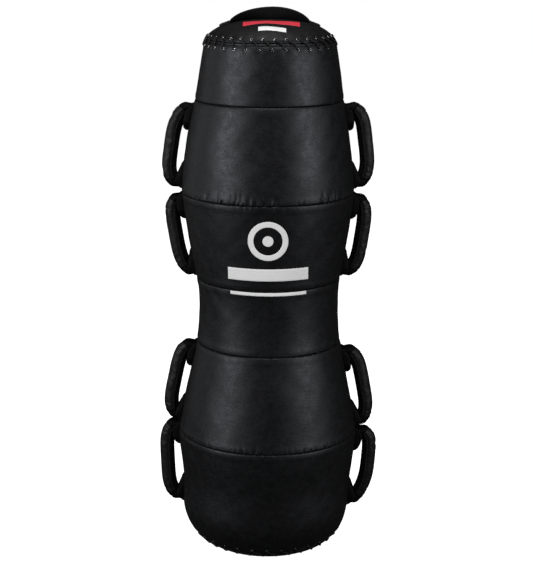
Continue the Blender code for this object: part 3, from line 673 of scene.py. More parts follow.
TOP_RIM = cap_line(0)
FOOT_RIM = foot_line(FOOT_RIM_HEIGHT)
FOOT_SLOPE = (foot_line(FOOT_RIM_HEIGHT + HEM_SPAN) - FOOT_RIM).normalized().y
WALLS = {
    # hem: the rim it is on, its wall at a distance from the rim, and its eyelets' distance
    "cap": (TOP_RIM, cap_line, CAP_EYELET_INSET),
    "collar": (TOP_RIM, collar_line, PANEL_EYELET_INSET),
    "base": (FOOT_RIM, lambda far: foot_line(FOOT_RIM_HEIGHT + far * FOOT_SLOPE),
             PANEL_EYELET_INSET),
    "foot": (FOOT_RIM, lambda far: foot_line(FOOT_RIM_HEIGHT - far * FOOT_SLOPE),
             FOOT_EYELET_INSET),
}


def wall_frame(rim, wall):
    """Directions in the (radius, height) plane: along the wall from the rim, and out of it."""
    along = (wall - rim).normalized()
    out = Vector((along.y, -along.x))
    return along, out if out.x > 0 else -out


def hem_centre(name):
    rim, line, _ = WALLS[name]
    along, out = wall_frame(rim, line(HEM_SPAN))
    return rim + along * (HEM_GAP / 2 + HEM_RADIUS) - out * HEM_SET_IN[name]


def add_hem(name):
    centre = hem_centre(name)
    crossing = lace_slant(name, TURN) * LACE_CROSSING * (1 if name in ("cap", "base") else -1)
    squeezed = np.cos((lace_count(name, TURN) - crossing) * math.tau)
    spin = turns(HEM_SIDES).T
    bead = HEM_RADIUS * (HEM_FULLNESS - HEM_PINCH[name] * np.clip(squeezed, 0, 1) ** 3)
    bead = bead + HEM_UNEVENNESS * waves(len(name), 8, (20, 60), (0, 0), TURN, spin)
    points = ring_points(centre.x + bead * np.cos(spin), TURN, centre.y - bead * np.sin(spin))
    hem = add_mesh(name + "_hem", points, grid_faces(HEM_SIDES, COLUMNS, round_rows=True))
    dress(hem, shell_leather)


for hem_name in WALLS:
    add_hem(hem_name)


# Eyelets: two-part nickel eyelets, pressed through the leather in a row along each hem. Each
# has a rolled flange outside and a short barrel that the lace runs through.
EYELET_FLANGE = 0.0030
EYELET_BORE = 0.0019
EYELET_HEIGHT = 0.0009
EYELET_SIDES = 24
EYELET_SINK = 0.0003
WALL_STEP = 0.002
EYELET_PROFILE = [(EYELET_BORE, -LEATHER), (EYELET_BORE, EYELET_HEIGHT * 0.4),
                  (EYELET_BORE * 1.12, EYELET_HEIGHT * 0.85), (EYELET_BORE * 1.32, EYELET_HEIGHT),
                  (EYELET_FLANGE * 0.92, EYELET_HEIGHT * 0.72), (EYELET_FLANGE, EYELET_HEIGHT * 0.2),
                  (EYELET_FLANGE * 0.97, -EYELET_SINK), (EYELET_BORE * 1.15, -EYELET_SINK),
                  (EYELET_BORE * 1.15, -LEATHER)]


def surface_spot(name, angle):
    """The point on the finished leather where an eyelet goes, and the wall's outward normal."""
    _, line, inset = WALLS[name]
    place = line(inset)
    normal = wall_frame(line(inset - WALL_STEP), line(inset + WALL_STEP))[1]
    if name in ("collar", "base"):
        index = 0 if name == "collar" else len(PANELS) - 1
        place = Vector((float(shell_radius(index, np.array(angle), place.y)), place.y))
    elif name == "cap":
        place = Vector((place.x, float(cap_height(np.array(place.x), np.array(angle)))))
    return place, normal


def eyelet_angle(name, number):
    """The angle of a wall's eyelet. Each cap's row lags behind its panel's by the lace's slant."""
    angle = number * PITCH + TOP_LACE_TURN * (name in ("cap", "collar"))
    return angle + lace_slant(name, angle) * PITCH * ((name == "foot") - (name == "cap"))


def in_plane(place, angle):
    """A point of the (radius, height) plane turned to an angle round the bag."""
    return Vector((place.x * math.cos(angle), place.x * math.sin(angle), place.y))


def add_eyelets(name, material):
    points, faces = [], []
    for number in range(EYELETS):
        angle = eyelet_angle(name, number)
        place, normal = surface_spot(name, angle)
        centre, out = in_plane(place, angle), in_plane(normal, angle)
        side = Vector((-math.sin(angle), math.cos(angle), 0))
        up = out.cross(side)
        faces += shifted(grid_faces(len(EYELET_PROFILE), EYELET_SIDES, round_rows=True), len(points))
        for reach, height in EYELET_PROFILE:
            for spin in turns(EYELET_SIDES)[0]:
                around = side * math.cos(spin) + up * math.sin(spin)
                points.append(centre + out * (height + EYELET_SINK) + around * reach)
    dress(add_mesh(name + "_eyelets", points, faces), material)


def make_metal_group():
    """Nickel plate: a fine polish that is a little duller where it was handled."""
    effect = Effect("nickel_plate", {
        "Patch": 0.002, "Depth": 0.00002, "Gloss low": 0.26, "Gloss high": 0.44,
        "Dark": (0.40, 0.40, 0.39, 1), "Light": (0.62, 0.62, 0.61, 1)})
    patch = effect.noise(1.0 / effect["Patch"], 4.0)
    return effect.finish(patch, effect.gloss(patch), patch * effect["Depth"], "Light", "Dark")


NICKEL_GROUP = make_metal_group()
nickel = surface("nickel_plate", NICKEL_GROUP, 0.5, Metallic=1.0)
# The base and foot rows, down by the floor, take a darker copy of the same nickel: painted shade.
floor_nickel_painted_shade = surface("floor_nickel_painted_shade", NICKEL_GROUP, 0.5, Metallic=1.0, values={
    "Dark": (0.10, 0.10, 0.098, 1), "Light": (0.19, 0.19, 0.186, 1),
    "Gloss low": 0.4, "Gloss high": 0.6})
for eyelet_row in WALLS:
    add_eyelets(eyelet_row, floor_nickel_painted_shade if eyelet_row in ("base", "foot") else nickel)


# The laces: one round braided cord to each rim, whipped over both hems. Every turn leaves an
# upper eyelet, slants down over the hems to a lower one, and climbs back behind the leather.
LACE_RADIUS = 0.0019
LACE_SIDES = 12
LACE_STEPS = 6
CORD_TIP = 0.1
LACE_IN_EYELET = 0.2
LACE_UNDER = LEATHER + LACE_RADIUS
LACE_LIP = 0.13
# How far the lace stands off the leather by an eyelet and off a hem's bead, in radii of the
# cord. The bag's weight has pressed the bottom one flat.
LACE_STAND = {"cap": (1.25, 0.85), "collar": (1.25, 0.85), "base": (0.85, 0.3), "foot": (0.75, 0.3)}


def smooth_path(points, steps):
    """A curve through points, which bends evenly from each to the next."""
    points = np.array([tuple(point) for point in points])
    path = []
    last = len(points) - 1
    for number in range(last):
        before, start = points[max(number - 1, 0)], points[number]
        stop, after = points[number + 1], points[min(number + 2, last)]
        for step in range(steps):
            t = step / steps
            path.append(0.5 * (2 * start + (stop - before) * t
                               + (2 * before - 5 * start + 4 * stop - after) * t ** 2
                               + (3 * start - before - 3 * stop + after) * t ** 3))
    return np.array(path + [points[-1]])


def run_along(path):
    """The length of a path up to each of its points."""
    return np.concatenate(((0,), np.cumsum(np.linalg.norm(np.diff(path, axis=0), axis=1))))


def path_frames(path, side):
    """Two directions across a path, carried along it without a twist."""
    along = np.gradient(path, axis=0)
    along /= np.linalg.norm(along, axis=1)[:, None]
    across = []
    for direction in along:
        side = side - direction * np.dot(side, direction)
        side = side / np.linalg.norm(side)
        across.append(side)
    return np.array(across), np.cross(along, across)


def add_tube(name, path, radius, sides, side=(0.0, 0.0, 1.0)):
    """A round cord along a path, rounded in at its two ends, with its length in its UVs."""
    across, other = path_frames(path, np.array(side))
    length = run_along(path)
    points, uvs = [], []
    for number in range(len(path)):
        end = min(length[number], length[-1] - length[number])
        full = radius * math.sqrt(1 - max(0.0, 1 - end / radius) ** 2) if end < radius else radius
        for step, spin in enumerate(turns(sides)[0]):
            points.append(path[number] + max(full, radius * CORD_TIP)
                          * (across[number] * math.cos(spin) - other[number] * math.sin(spin)))
            uvs.append((step / sides * math.tau * radius, length[number]))
    return add_mesh(name, points, tube_faces(len(path), sides), uvs)


def lace_route(upper, lower):
    """Points of a whipped lace. It rides over the hems at their beads' crests."""
    points = []
    shares = (0.0, 0.0, LACE_LIP, LACE_CROSSING)
    for number in range(EYELETS):
        first, last = eyelet_angle(upper, number), eyelet_angle(lower, number)
        turn = []
        for name, angle in ((upper, first), (lower, last)):
            spot, out = surface_spot(name, angle)
            rim, line, _ = WALLS[name]
            bead = hem_centre(name)
            by_eyelet, on_bead = LACE_STAND[name]
            crest = bead + wall_frame(rim, line(HEM_SPAN))[1] * (HEM_RADIUS + LACE_RADIUS * on_bead)
            toward = (bead - spot).normalized()
            turn.append((spot - out * LACE_UNDER, spot + out * LACE_RADIUS * LACE_IN_EYELET,
                         spot + out * LACE_RADIUS * by_eyelet + toward * EYELET_BORE, crest))
        places = turn[0] + turn[1][::-1]
        for place, share in zip(places, shares + tuple(1 - share for share in shares[::-1])):
            points.append(in_plane(place, first + (last - first) * share))
    return points


def make_braid_group():
    """Round braid: two sets of strands that cross over each other, seen by the cord's UVs.
    The strands' crests are lighter and the grooves between them darker: painted shade.
    """
    effect = Effect("round_braid", {
        "Strand": 0.0016, "Across": 0.0030, "Depth": 0.00018,
        "Dark": (0.0025, 0.0025, 0.0026, 1), "Light": (0.009, 0.009, 0.0095, 1)})
    around, along = effect.threads("Across", "Strand")
    weave = reckon("MAXIMUM", ribs(around + along), ribs(around - along))
    return effect.finish(weave ** 3.0, weave * -0.15 + 0.75, weave * effect["Depth"])


lace_cord = surface("braided_cord", make_braid_group(), 0.22)
for lace_name, upper, lower in (("top_lace", "cap", "collar"), ("bottom_lace", "base", "foot")):
    lace = add_tube(lace_name + "_braid", smooth_path(lace_route(upper, lower), LACE_STEPS),
                    LACE_RADIUS, LACE_SIDES)
    dress(lace, lace_cord, [lace_name])


# The carrying strap: black nylon webbing, sewn flat to the cap at both ends. Between them it
# stands up in a low arch that has fallen back, so that its rear edge lies on the dome.
STRAP_WIDTH = 0.035
STRAP_THICKNESS = 0.0025
STRAP_HALF_SPAN = 0.086
STRAP_RISE = 0.0325
STRAP_FALL = 0.0125
STRAP_PEAK = 0.0085
STRAP_ROUNDNESS = 0.58
STRAP_SINK = 0.0012
STRAP_SEWN_REACH = 0.107
STRAP_STEPS = 64
STRAP_ACROSS = 12
STRAP_STATIONS = 10
FOLD_NARROWED, FOLD_LIFT = 0.98, 0.95
DOME_REACH = CAP_EDGE * 0.995
WEBBING_EDGE_DROP = 0.75
WEBBING_EDGE = 0.0009
STRAP_FOLD_REACH = 0.0845
THREAD_RADIUS = 0.00042
THREAD_SIDES = 6
STITCH_LENGTH = 0.0036
STITCH_PITCH = 0.0043
STITCH_ARCH = (
    # along the stitch, above the surface, thickness
    (-0.5, -0.0005, 0.7), (-0.38, 0.0002, 1.0), (0.0, 0.00035, 1.0), (0.38, 0.0002, 1.0),
    (0.5, -0.0005, 0.7))


def seat_height(x, y):
    """The height at which the strap's middle would lie on the cap's leather."""
    radius, angle = min(math.hypot(x, y), DOME_REACH), math.atan2(y, x)
    return float(cap_height(np.array(radius), np.array(angle))) + STRAP_THICKNESS / 2


def ribbon(name, centres, across, normals, width):
    """A flat strap through centres. Its section is a rounded strip, and its UVs are metres
    across and along it."""
    points, uvs = [], []
    length, half = 0.0, width / 2
    for number, centre in enumerate(centres):
        if number:
            length += (centre - centres[number - 1]).length
        for face in (1, -1):
            for step in range(STRAP_ACROSS + 1):
                share = (2 * step / STRAP_ACROSS - 1) * face
                inset = max(0.0, abs(share) * half - (half - WEBBING_EDGE)) / WEBBING_EDGE
                thick = STRAP_THICKNESS / 2 * math.sqrt(max(0.0, 1 - WEBBING_EDGE_DROP * inset ** 2))
                points.append(centre + across[number] * share * half + normals[number] * thick * face)
                uvs.append((share * half, length))
    faces = [face[::-1] for face in tube_faces(len(centres), 2 * (STRAP_ACROSS + 1))]
    return add_mesh(name, points, faces, uvs)


def strap_edges(x):
    """The rear edge of the strap, which lies on the cap, and its front edge, which stands up."""
    peak_reach = STRAP_HALF_SPAN - math.copysign(STRAP_PEAK, x - STRAP_PEAK)
    lift = max(0.0, 1 - ((x - STRAP_PEAK) / peak_reach) ** 2) ** STRAP_ROUNDNESS
    rear_y = STRAP_WIDTH / 2 + STRAP_FALL * max(0.0, 1 - (x / STRAP_HALF_SPAN) ** 2)
    rear = Vector((x, rear_y, seat_height(x, rear_y) - STRAP_SINK))
    front_z = seat_height(x, rear_y - STRAP_WIDTH)
    if lift:
        front_z = max(seat_height(STRAP_HALF_SPAN, 0.0) + STRAP_RISE * lift, front_z)
    front_y = rear_y - math.sqrt(STRAP_WIDTH ** 2 - (front_z - rear.z) ** 2)
    return rear, Vector((x, front_y, front_z))


def strap_run():
    """Centres, across directions and normals along the whole strap, from right to left."""
    reaches = list(np.linspace(STRAP_SEWN_REACH, STRAP_HALF_SPAN + 0.001, STRAP_STATIONS))
    arch = [STRAP_HALF_SPAN * math.cos(turn) for turn in np.linspace(0, math.pi, STRAP_STEPS)]
    edges = [strap_edges(x) for x in reaches + arch + [-reach for reach in reversed(reaches)]]
    centres = [(rear + front) / 2 for rear, front in edges]
    across = [(rear - front).normalized() for rear, front in edges]
    normals = []
    for number in range(len(centres)):
        ahead = centres[min(number + 1, len(centres) - 1)] - centres[max(number - 1, 0)]
        normals.append(across[number].cross(ahead).normalized())
    return centres, across, normals


def make_webbing_group():
    """Woven nylon webbing: rows of small flat knuckles across the strap, in UV metres.
    The knuckles' tops are lighter and the gaps between them darker, which is painted shade, with a random
    fuzz in the tone.
    """
    effect = Effect("nylon_webbing", {
        "Rib": 0.0016, "Yarn": 0.0012, "Depth": 0.00028,
        "Dark": (0.0025, 0.0025, 0.0027, 1), "Light": (0.010, 0.010, 0.0105, 1)})
    yarn, rib = effect.threads("Yarn", "Rib")
    shift = reckon("MODULO", reckon("ABSOLUTE", reckon("FLOOR", yarn)), 2.0) * 0.5
    knuckle = ribs(rib + shift) ** 0.6 * ribs(yarn) ** 0.5
    fuzz = effect.noise(900.0)
    return effect.finish(knuckle * (fuzz * 0.6 + 0.6), knuckle * -0.12 + 0.86,
                         knuckle * effect["Depth"])


webbing = surface("webbing", make_webbing_group(), 0.3)
strap_centres, strap_across, strap_normals = strap_run()
dress(ribbon("carrying_strap", strap_centres, strap_across, strap_normals, STRAP_WIDTH), webbing,
      ["carry_strap"],
      bind=lambda piece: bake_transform(piece))


def add_strap_end(name, sign):
    """The webbing is turned back over its own end, so that the sewn part lies double."""
    picked = [number for number, centre in enumerate(strap_centres) if sign * centre.x > STRAP_FOLD_REACH]
    centres = [strap_centres[number] + strap_normals[number] * STRAP_THICKNESS * FOLD_LIFT
               for number in picked]
    across, normals = ([row[number] for number in picked] for row in (strap_across, strap_normals))
    dress(ribbon(name + "_fold", centres, across, normals, STRAP_WIDTH * FOLD_NARROWED), webbing,
          [name])
    return centres, across, normals


def stitch_rows(rows):
    """Points and faces of rows of lockstitches. Each row is a path on a surface and the surface's
    normals along it; every stitch is a short arch of thread that goes down at both ends."""
    points, faces = [], []
    spin = turns(THREAD_SIDES)[0]
    offset, lift, size = np.array(STITCH_ARCH).T
    for path, normals in rows:
        path, normals = np.array(path), np.array(normals)
        run = run_along(path)
        count = int(run[-1] / STITCH_PITCH)
        middle = (np.arange(count) + 0.5) * run[-1] / count
        at = middle[:, None] + offset * STITCH_LENGTH
        place, out = (np.stack([np.interp(at, run, row[:, axis]) for axis in range(3)], axis=-1)
                      for row in (path, normals))
        side = np.cross(out, place[:, -1:] - place[:, :1])
        side /= np.linalg.norm(side, axis=-1)[..., None]
        place = place + out * lift[:, None]
        ring = (out[:, :, None] * np.cos(spin)[:, None] + side[:, :, None] * np.sin(spin)[:, None])
        ring = place[:, :, None] + ring * (THREAD_RADIUS * size)[:, None, None]
        for stitch in ring.reshape(count, -1, 3):
            faces += shifted(tube_faces(len(offset), THREAD_SIDES), len(points))
            points.extend(stitch)
    return points, faces


def add_stitches(name, rows, bind=None):
    dress(add_mesh(name + "_stitches", *stitch_rows(rows)), thread, bind=bind)


def make_thread_group():
    """Bonded nylon thread: two plies with a slight fuzz."""
    effect = Effect("bonded_thread", {
        "Ply": 0.0006, "Depth": 0.00008,
        "Dark": (0.006, 0.006, 0.0063, 1), "Light": (0.020, 0.020, 0.021, 1)})
    fuzz = effect.noise(1.0 / effect["Ply"])
    return effect.finish(fuzz, fuzz * 0.25 + 0.45, fuzz * effect["Depth"])


BOX_CORNERS = (
    # along the sewn end and across it, as shares of its length and half width
    (0.10, -0.84), (0.10, 0.84), (0.90, 0.84), (0.90, -0.84))
BOX_STEPS = 24


def box_stitch(centres, across, normals):
    """The sewn box with a cross in it: rows on a doubled end, from its stations."""
    total = len(centres) - 1

    def spot(length, breadth):
        place = length * total
        number = min(int(place), total - 1)
        share = place - number
        middle = centres[number].lerp(centres[number + 1], share)
        return (middle + across[number] * breadth * STRAP_WIDTH / 2
                + normals[number] * STRAP_THICKNESS * 0.5)

    rows = []
    for first, last in [*zip(BOX_CORNERS, BOX_CORNERS[1:] + BOX_CORNERS[:1]),
                        (BOX_CORNERS[0], BOX_CORNERS[2]), (BOX_CORNERS[1], BOX_CORNERS[3])]:
        path = [spot(*place) for place in np.linspace(first, last, BOX_STEPS)]
        rows.append((path, [normals[total // 2]] * len(path)))
    return rows


thread = surface("bonded_thread", make_thread_group(), 0.4)
for strap_end, sign in (("carry_strap_left_end", -1), ("carry_strap_right_end", 1)):
    add_stitches(strap_end, box_stitch(*add_strap_end(strap_end, sign)))


# The side handles: a foam rod in a padded leather sleeve, on a webbing backing. The sleeve's long
# edges are turned under and sewn to the backing, which shows on the side that faces the bag.
# Each end is squeezed flat where it meets the bag, over a wedge of folded leather.
HANDLES = {
    # name: how far down its fullest point is shifted, and how much nearer the bag it hangs
    "chest_left": (0.10, 0.0), "chest_right": (-0.08, 0.0),
    "rib_left": (-0.12, 0.0), "rib_right": (0.0, 0.0),
    "hip_left": (0.0, 0.0), "hip_right": (0.0, 0.0),
    "base_left": (0.0, 0.0042), "base_right": (-0.26, -0.0033),
}
TAB_OVERHANG = 0.005
GRIP_RADIUS = 0.0163
GRIP_SEAT = 0.011
GRIP_BOW_POWER = 4
GRIP_ROWS = 100
GRIP_COLUMNS = 48
GRIP_END = (0.0076, 0.0195)
GRIP_END_DROP = 0.0028
GRIP_END_CLEARANCE = 0.001
GRIP_SWELL_LENGTH = 0.036
RIDGE_TURN = math.radians(114)
BACKING_TURN = math.radians(120)
WEDGE_HALF = 0.023
WEDGE_LENGTH = 0.052
WEDGE_UPPER = ((-0.004, 0.001, 0.008, 0.014, 0.032, 0.045, 0.0495, 0.052),
               (0.0050, 0.011, 0.0160, 0.0172, 0.0160, 0.0125, 0.0100, 0.0060))
WEDGE_LOWER = ((-0.004, 0.001, 0.008, 0.014, 0.022, 0.050, 0.052),
               (0.0050, 0.011, 0.0160, 0.0180, 0.0145, 0.0035, 0.0022))
WEDGE_SEWN = (0.007, 0.047)
WEDGE_SEW_SHARE = 0.80
WEDGE_EDGE_LEAN = 4.0
SEW_IN = 0.17
SEW_ROWS = 12
CUFF_ROWS = {"upper": 11, "lower": 15}
CUFF_GROWTH = 1.05
CORE_COLUMNS = 20
CORE_SHARE = 0.78
CORE_ROWS = 7
BACKING_COLUMNS = 15
BACKING_SHARES = (0.955, 0.80)
WEDGE_ROWS, WEDGE_COLUMNS = 30, 15
CREASES = {
    # kind: how many, and the ranges of their width, depth, spread round the grip and slant
    "bend": (26, (0.0014, 0.0032), (0.0004, 0.0012), (0.4, 1.0), (-0.005, 0.005)),
    "long": (16, (0.006, 0.016), (0.0002, 0.0005), (0.12, 0.3), (-0.012, 0.012)),
}
BEND_PLACE, BEND_SCATTER, LONG_MARGIN = 0.030, 0.009, 0.04
RIDGE_HEIGHT, RIDGE_SPREAD = 0.0014, 0.085
TUCK_DEPTH, TUCK_START, TUCK_SPREAD = 0.0042, 0.03, 0.15
HOLLOW_DEPTH, HOLLOW_TURN, HOLLOW_SPREAD = 0.0008, 0.24, 0.10
BOW_MARGIN, BOW_STATIONS, BOW_ROUNDS = 0.04, 120, 8
BEND_REACH = (-0.007, 0.005)
WEDGE_TAPER, WEDGE_TAPER_START = 0.42, 0.62
WEDGE_BACK_SHARE, WEDGE_BACK_DEPTH = 0.98, -0.0022
END_LIFT = {
    # piece: how far its rounded ends stand out
    "sleeve": 0.0012, "upper_cuff": 0.0003, "lower_cuff": 0.0003, "foam": 0.001,
    "backing": 0.0004, "upper_wedge": 0.0008, "lower_wedge": 0.0008,
}
SETTLE_FRAMES = 20
SETTLE_PRESSURE = 4.0
SETTLE_SLACK = 0.03
SETTLE_CAP = 0.0009
SETTLE_HELD_ROWS = 18
SETTLE_HELD_TURN = RIDGE_TURN - 0.30


def panel_at(z):
    """The number of the panel at a height."""
    return next((index for index in range(len(PANELS)) if z >= EDGES[index + 1]), len(PANELS) - 1)


def wall_radius(z):
    """The shell's plain radius at a height, whichever panel is there."""
    return float(plain_radius(panel_at(z), z))


def wall_normal(z, reach=0.006):
    index = panel_at(z)
    high, low = min(z + reach, EDGES[index]), max(z - reach, EDGES[index + 1])
    along = Vector((wall_radius(high) - wall_radius(low), high - low)).normalized()
    return np.array((along.y, -along.x))


def smoothstep(value):
    value = np.clip(value, 0, 1)
    return value * value * (3 - 2 * value)


class Handle:
    """One handle's folds, and the line its sleeve runs along, in the (radius, height) plane."""

    def __init__(self, name):
        self.name = name
        self.side = -1 if name.endswith("_left") else 1
        self.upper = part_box(self.name + "_upper_tab")[1][2] - TAB_OVERHANG
        self.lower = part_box(self.name + "_lower_tab")[0][2] + TAB_OVERHANG
        self.high, self.low = (np.array((wall_radius(z), z)) + wall_normal(z) * GRIP_SEAT
                               for z in (self.upper, self.lower))
        chord = self.low - self.high
        self.out = np.array((-chord[1], chord[0])) / np.hypot(*chord)
        low_corner, high_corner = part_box(self.name + "_grip")
        shifted, drawn_in = HANDLES[name]
        outermost = max(abs(low_corner[0]), abs(high_corner[0])) - GRIP_RADIUS - drawn_in
        share = np.linspace(BOW_MARGIN, 1 - BOW_MARGIN, BOW_STATIONS)[:, None]
        skewed = share - shifted * 4 * share * (1 - share) * 0.5
        bulge = 1 - np.abs(2 * skewed - 1) ** GRIP_BOW_POWER
        straight = self.high + chord * share
        reach = 0.0
        for _ in range(BOW_ROUNDS):
            reach += outermost - (straight + self.out * reach * bulge)[:, 0].max()
        bow = straight + self.out * reach * bulge
        ends = []
        for z, drop in ((self.upper, -GRIP_END_DROP), (self.lower, GRIP_END_DROP)):
            spot = np.array((wall_radius(z + drop), z + drop))
            ends.append(spot + wall_normal(z + drop) * GRIP_END_CLEARANCE)
        line = np.vstack((ends[0], bow, ends[1]))
        run = run_along(line)
        self.run = np.linspace(0, run[-1], GRIP_ROWS)
        self.line = np.column_stack([np.interp(self.run, run, line[:, i]) for i in (0, 1)])
        along = np.gradient(self.line, axis=0)
        along = along / np.hypot(*along.T)[:, None]
        self.normals = np.column_stack((-along[:, 1], along[:, 0]))

    def section(self):
        """How full each station is, and its half thickness and half width, as columns."""
        near_end = np.minimum(self.run, self.run[-1] - self.run)[:, None]
        full = smoothstep(near_end / GRIP_SWELL_LENGTH) ** 0.8
        return full, *(end + (GRIP_RADIUS - end) * full for end in GRIP_END)

    def points(self, out, across):
        """World points at distances out of and across each station of the line."""
        place = self.line[:, None, :] + self.normals[:, None, :] * out[:, :, None]
        return [Vector((self.side * x, y, z))
                for x, z, y in zip(*place.reshape(-1, 2).T, across.ravel())]

    def bind(self, piece):
        """Bake a piece's transform into its points. The reach of the bend between shell and
        handle is worked out but not used, so nothing is blended or bent.
        """
        middle = (self.high + self.low) / 2
        start, end = (middle + self.out * far for far in BEND_REACH)
        self.side * start[0]
        self.side * end[0]
        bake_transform(piece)


def grip_creases(seed, run, turn):
    """Random creases: across the bends of a grip, and along its length."""
    random = np.random.default_rng(seed)
    total = run[-1, 0]
    change = 0 * (run + turn)
    for kind, (count, *ranges) in CREASES.items():
        for _ in range(count):
            if kind == "bend":
                at = random.choice((BEND_PLACE, total - BEND_PLACE)) + random.normal(0, BEND_SCATTER)
            else:
                at = random.uniform(LONG_MARGIN, total - LONG_MARGIN)
            width, depth, spread, slant = (random.uniform(*limits) for limits in ranges)
            middle = random.uniform(-math.pi, math.pi)
            offset = turn_between(turn, middle)
            along = (run - at - slant * offset) / width
            change -= depth * (1 - along ** 2) * np.exp(-along ** 2 - (offset / spread) ** 2)
    return change


END_RINGS = ((0.92, 0.4), (0.66, 0.85), (0.3, 1.0))


def close_ends(points, columns, lift):
    """Round off both ends of a tube of rings; gives its points and its faces."""
    first, last = points[:columns], points[-columns:]
    before, after = [], []
    for ring, inner, made in ((first, points[columns:2 * columns], before),
                              (last, points[-2 * columns:-columns], after)):
        middle = sum(ring, Vector()) / columns
        away = (middle - sum(inner, Vector()) / columns).normalized()
        for size, part in END_RINGS:
            made.append([middle + (point - middle) * size + away * lift * part for point in ring])
    points = sum(reversed(before), []) + points + sum(after, [])
    return points, tube_faces(len(points) // columns, columns)


def settle(piece, free):
    """Let leather settle over its padding: as cloth, a little slack and under pressure, it moves
    only at its free points, and none moves further than a cap."""
    start = np.array([tuple(point.co) for point in piece.data.vertices])
    held = piece.vertex_groups.new(name="held")
    held.add([number for number in range(len(start)) if not free[number]], 1.0, "REPLACE")
    cloth = piece.modifiers.new("settle", "CLOTH")
    cloth.settings.vertex_group_mass = held.name
    cloth.settings.use_pressure = True
    cloth.settings.uniform_pressure_force = SETTLE_PRESSURE
    cloth.settings.shrink_min = -SETTLE_SLACK
    cloth.settings.effector_weights.gravity = 0.0
    cloth.point_cache.frame_start, cloth.point_cache.frame_end = 1, SETTLE_FRAMES
    for frame_number in range(1, SETTLE_FRAMES + 1):
        bpy.context.scene.frame_set(frame_number)
    settled = piece.evaluated_get(bpy.context.evaluated_depsgraph_get()).data
    moved = np.array([tuple(point.co) for point in settled.vertices]) - start
    piece.modifiers.remove(cloth)
    piece.vertex_groups.remove(held)
    bpy.context.scene.frame_set(1)
    length = np.maximum(np.linalg.norm(moved, axis=1), 1e-9)[:, None]
    moved *= np.tanh(length / SETTLE_CAP) * SETTLE_CAP / length
    piece.data.vertices.foreach_set("co", (start + moved).ravel())
    piece.data.update()


def add_handle_mesh(handle, kind, points, columns, material, nodes=(), free=None):
    points, faces = close_ends(points, columns, END_LIFT[kind])
    if handle.side < 0:
        faces = [face[::-1] for face in faces]
    piece = add_mesh(handle.name + "_" + kind, points, faces)
    if free is not None:
        settle(piece, free)
    dress(piece, material, nodes, handle.bind)


def sleeve_form(handle, seed, turn):
    """Distances out of and across a handle's line to its sleeve, at turns round it."""
    full, half_out, half_across = handle.section()
    around = np.abs(turn_between(turn, 0))
    ridge = RIDGE_HEIGHT * np.exp(-((around - RIDGE_TURN) / RIDGE_SPREAD) ** 2)
    tuck = TUCK_DEPTH * smoothstep((around - RIDGE_TURN - TUCK_START) / TUCK_SPREAD)
    hollow = HOLLOW_DEPTH * np.exp(-((around - RIDGE_TURN + HOLLOW_TURN) / HOLLOW_SPREAD) ** 2)
    change = (ridge - tuck - hollow) * full
    change = change + grip_creases(seed, handle.run[:, None], turn)
    return np.cos(turn) * (half_out + change), np.sin(turn) * (half_across + change)


def add_sleeve(handle, seed):
    turn = turns(GRIP_COLUMNS)
    points = handle.points(*sleeve_form(handle, seed, turn))
    rows = len(points) // GRIP_COLUMNS + 2 * len(END_RINGS)
    row = np.arange(rows)[:, None]
    inner = (row >= SETTLE_HELD_ROWS) & (row < rows - SETTLE_HELD_ROWS)
    free = (inner & (np.abs(turn_between(turn, 0)) < SETTLE_HELD_TURN)).ravel()
    add_handle_mesh(handle, "sleeve", points, GRIP_COLUMNS, grip_leather,
                    [handle.name + "_grip"], free)


def add_cuff(handle, seed, end, rows):
    """The tab's leather runs on round the grip's root as a cuff, and ends at the bend.
    Its near-black colour is painted shade where the handle meets the bag.
    """
    out, across = sleeve_form(handle, seed, turns(GRIP_COLUMNS))
    points = handle.points(out * CUFF_GROWTH, across * CUFF_GROWTH)
    first, last = (row * GRIP_COLUMNS for row in rows)
    add_handle_mesh(handle, end + "_cuff", points[first:last], GRIP_COLUMNS, tab_leather_painted_shade)


def sleeve_stitches(handle, seed):
    """A row along each turned edge of the sleeve, just outside its ridge."""
    rows = []
    for turn in (-RIDGE_TURN + SEW_IN, RIDGE_TURN - SEW_IN):
        turn = np.array([[turn]])
        out, across = sleeve_form(handle, seed, turn)
        path = handle.points(out, across)[SEW_ROWS:-SEW_ROWS]
        lifted = handle.points(out + np.cos(turn), across + np.sin(turn))[SEW_ROWS:-SEW_ROWS]
        rows.append((path, [(high - low).normalized() for high, low in zip(lifted, path)]))
    return rows


def add_core(handle):
    """The foam rod in the sleeve."""
    _, half_out, half_across = handle.section()
    turn = turns(CORE_COLUMNS)
    points = handle.points(np.cos(turn) * half_out * CORE_SHARE, np.sin(turn) * half_across * CORE_SHARE)
    inner = slice(CORE_COLUMNS * CORE_ROWS, -CORE_COLUMNS * CORE_ROWS)
    add_handle_mesh(handle, "foam", points[inner], CORE_COLUMNS, foam,
                    [handle.name + "_grip_core"])


def add_backing(handle):
    """The webbing between the sleeve's two turned edges, from its outer face to its inner one."""
    _, half_out, half_across = handle.section()
    outer, inner = BACKING_SHARES
    sweep = math.pi + np.linspace(-1, 1, BACKING_COLUMNS)[None, :] * (math.pi - BACKING_TURN)
    depth, side = (np.concatenate((form(sweep) * outer, form(sweep[:, ::-1]) * inner), axis=1)
                   for form in (np.cos, np.sin))
    points = handle.points(depth * half_out, side * half_across)
    add_handle_mesh(handle, "backing", points, 2 * BACKING_COLUMNS, webbing)


def wedge_spot(handle, fold, inward, profile, distance, share):
    """A point of a wedge's outer face, at a distance from its fold and a share of its width."""
    taper = smoothstep((distance / WEDGE_LENGTH - WEDGE_TAPER_START) / (1 - WEDGE_TAPER_START))
    half = WEDGE_HALF * (1 - WEDGE_TAPER * taper)
    out = np.interp(distance, *profile) * (1 - abs(share) ** 5) ** 0.5
    return wall_spot(handle, fold + inward * distance, share * half, out), half


def wall_spot(handle, z, y, out):
    return Vector((handle.side * (math.sqrt(wall_radius(z) ** 2 - y ** 2) + out), y, z))


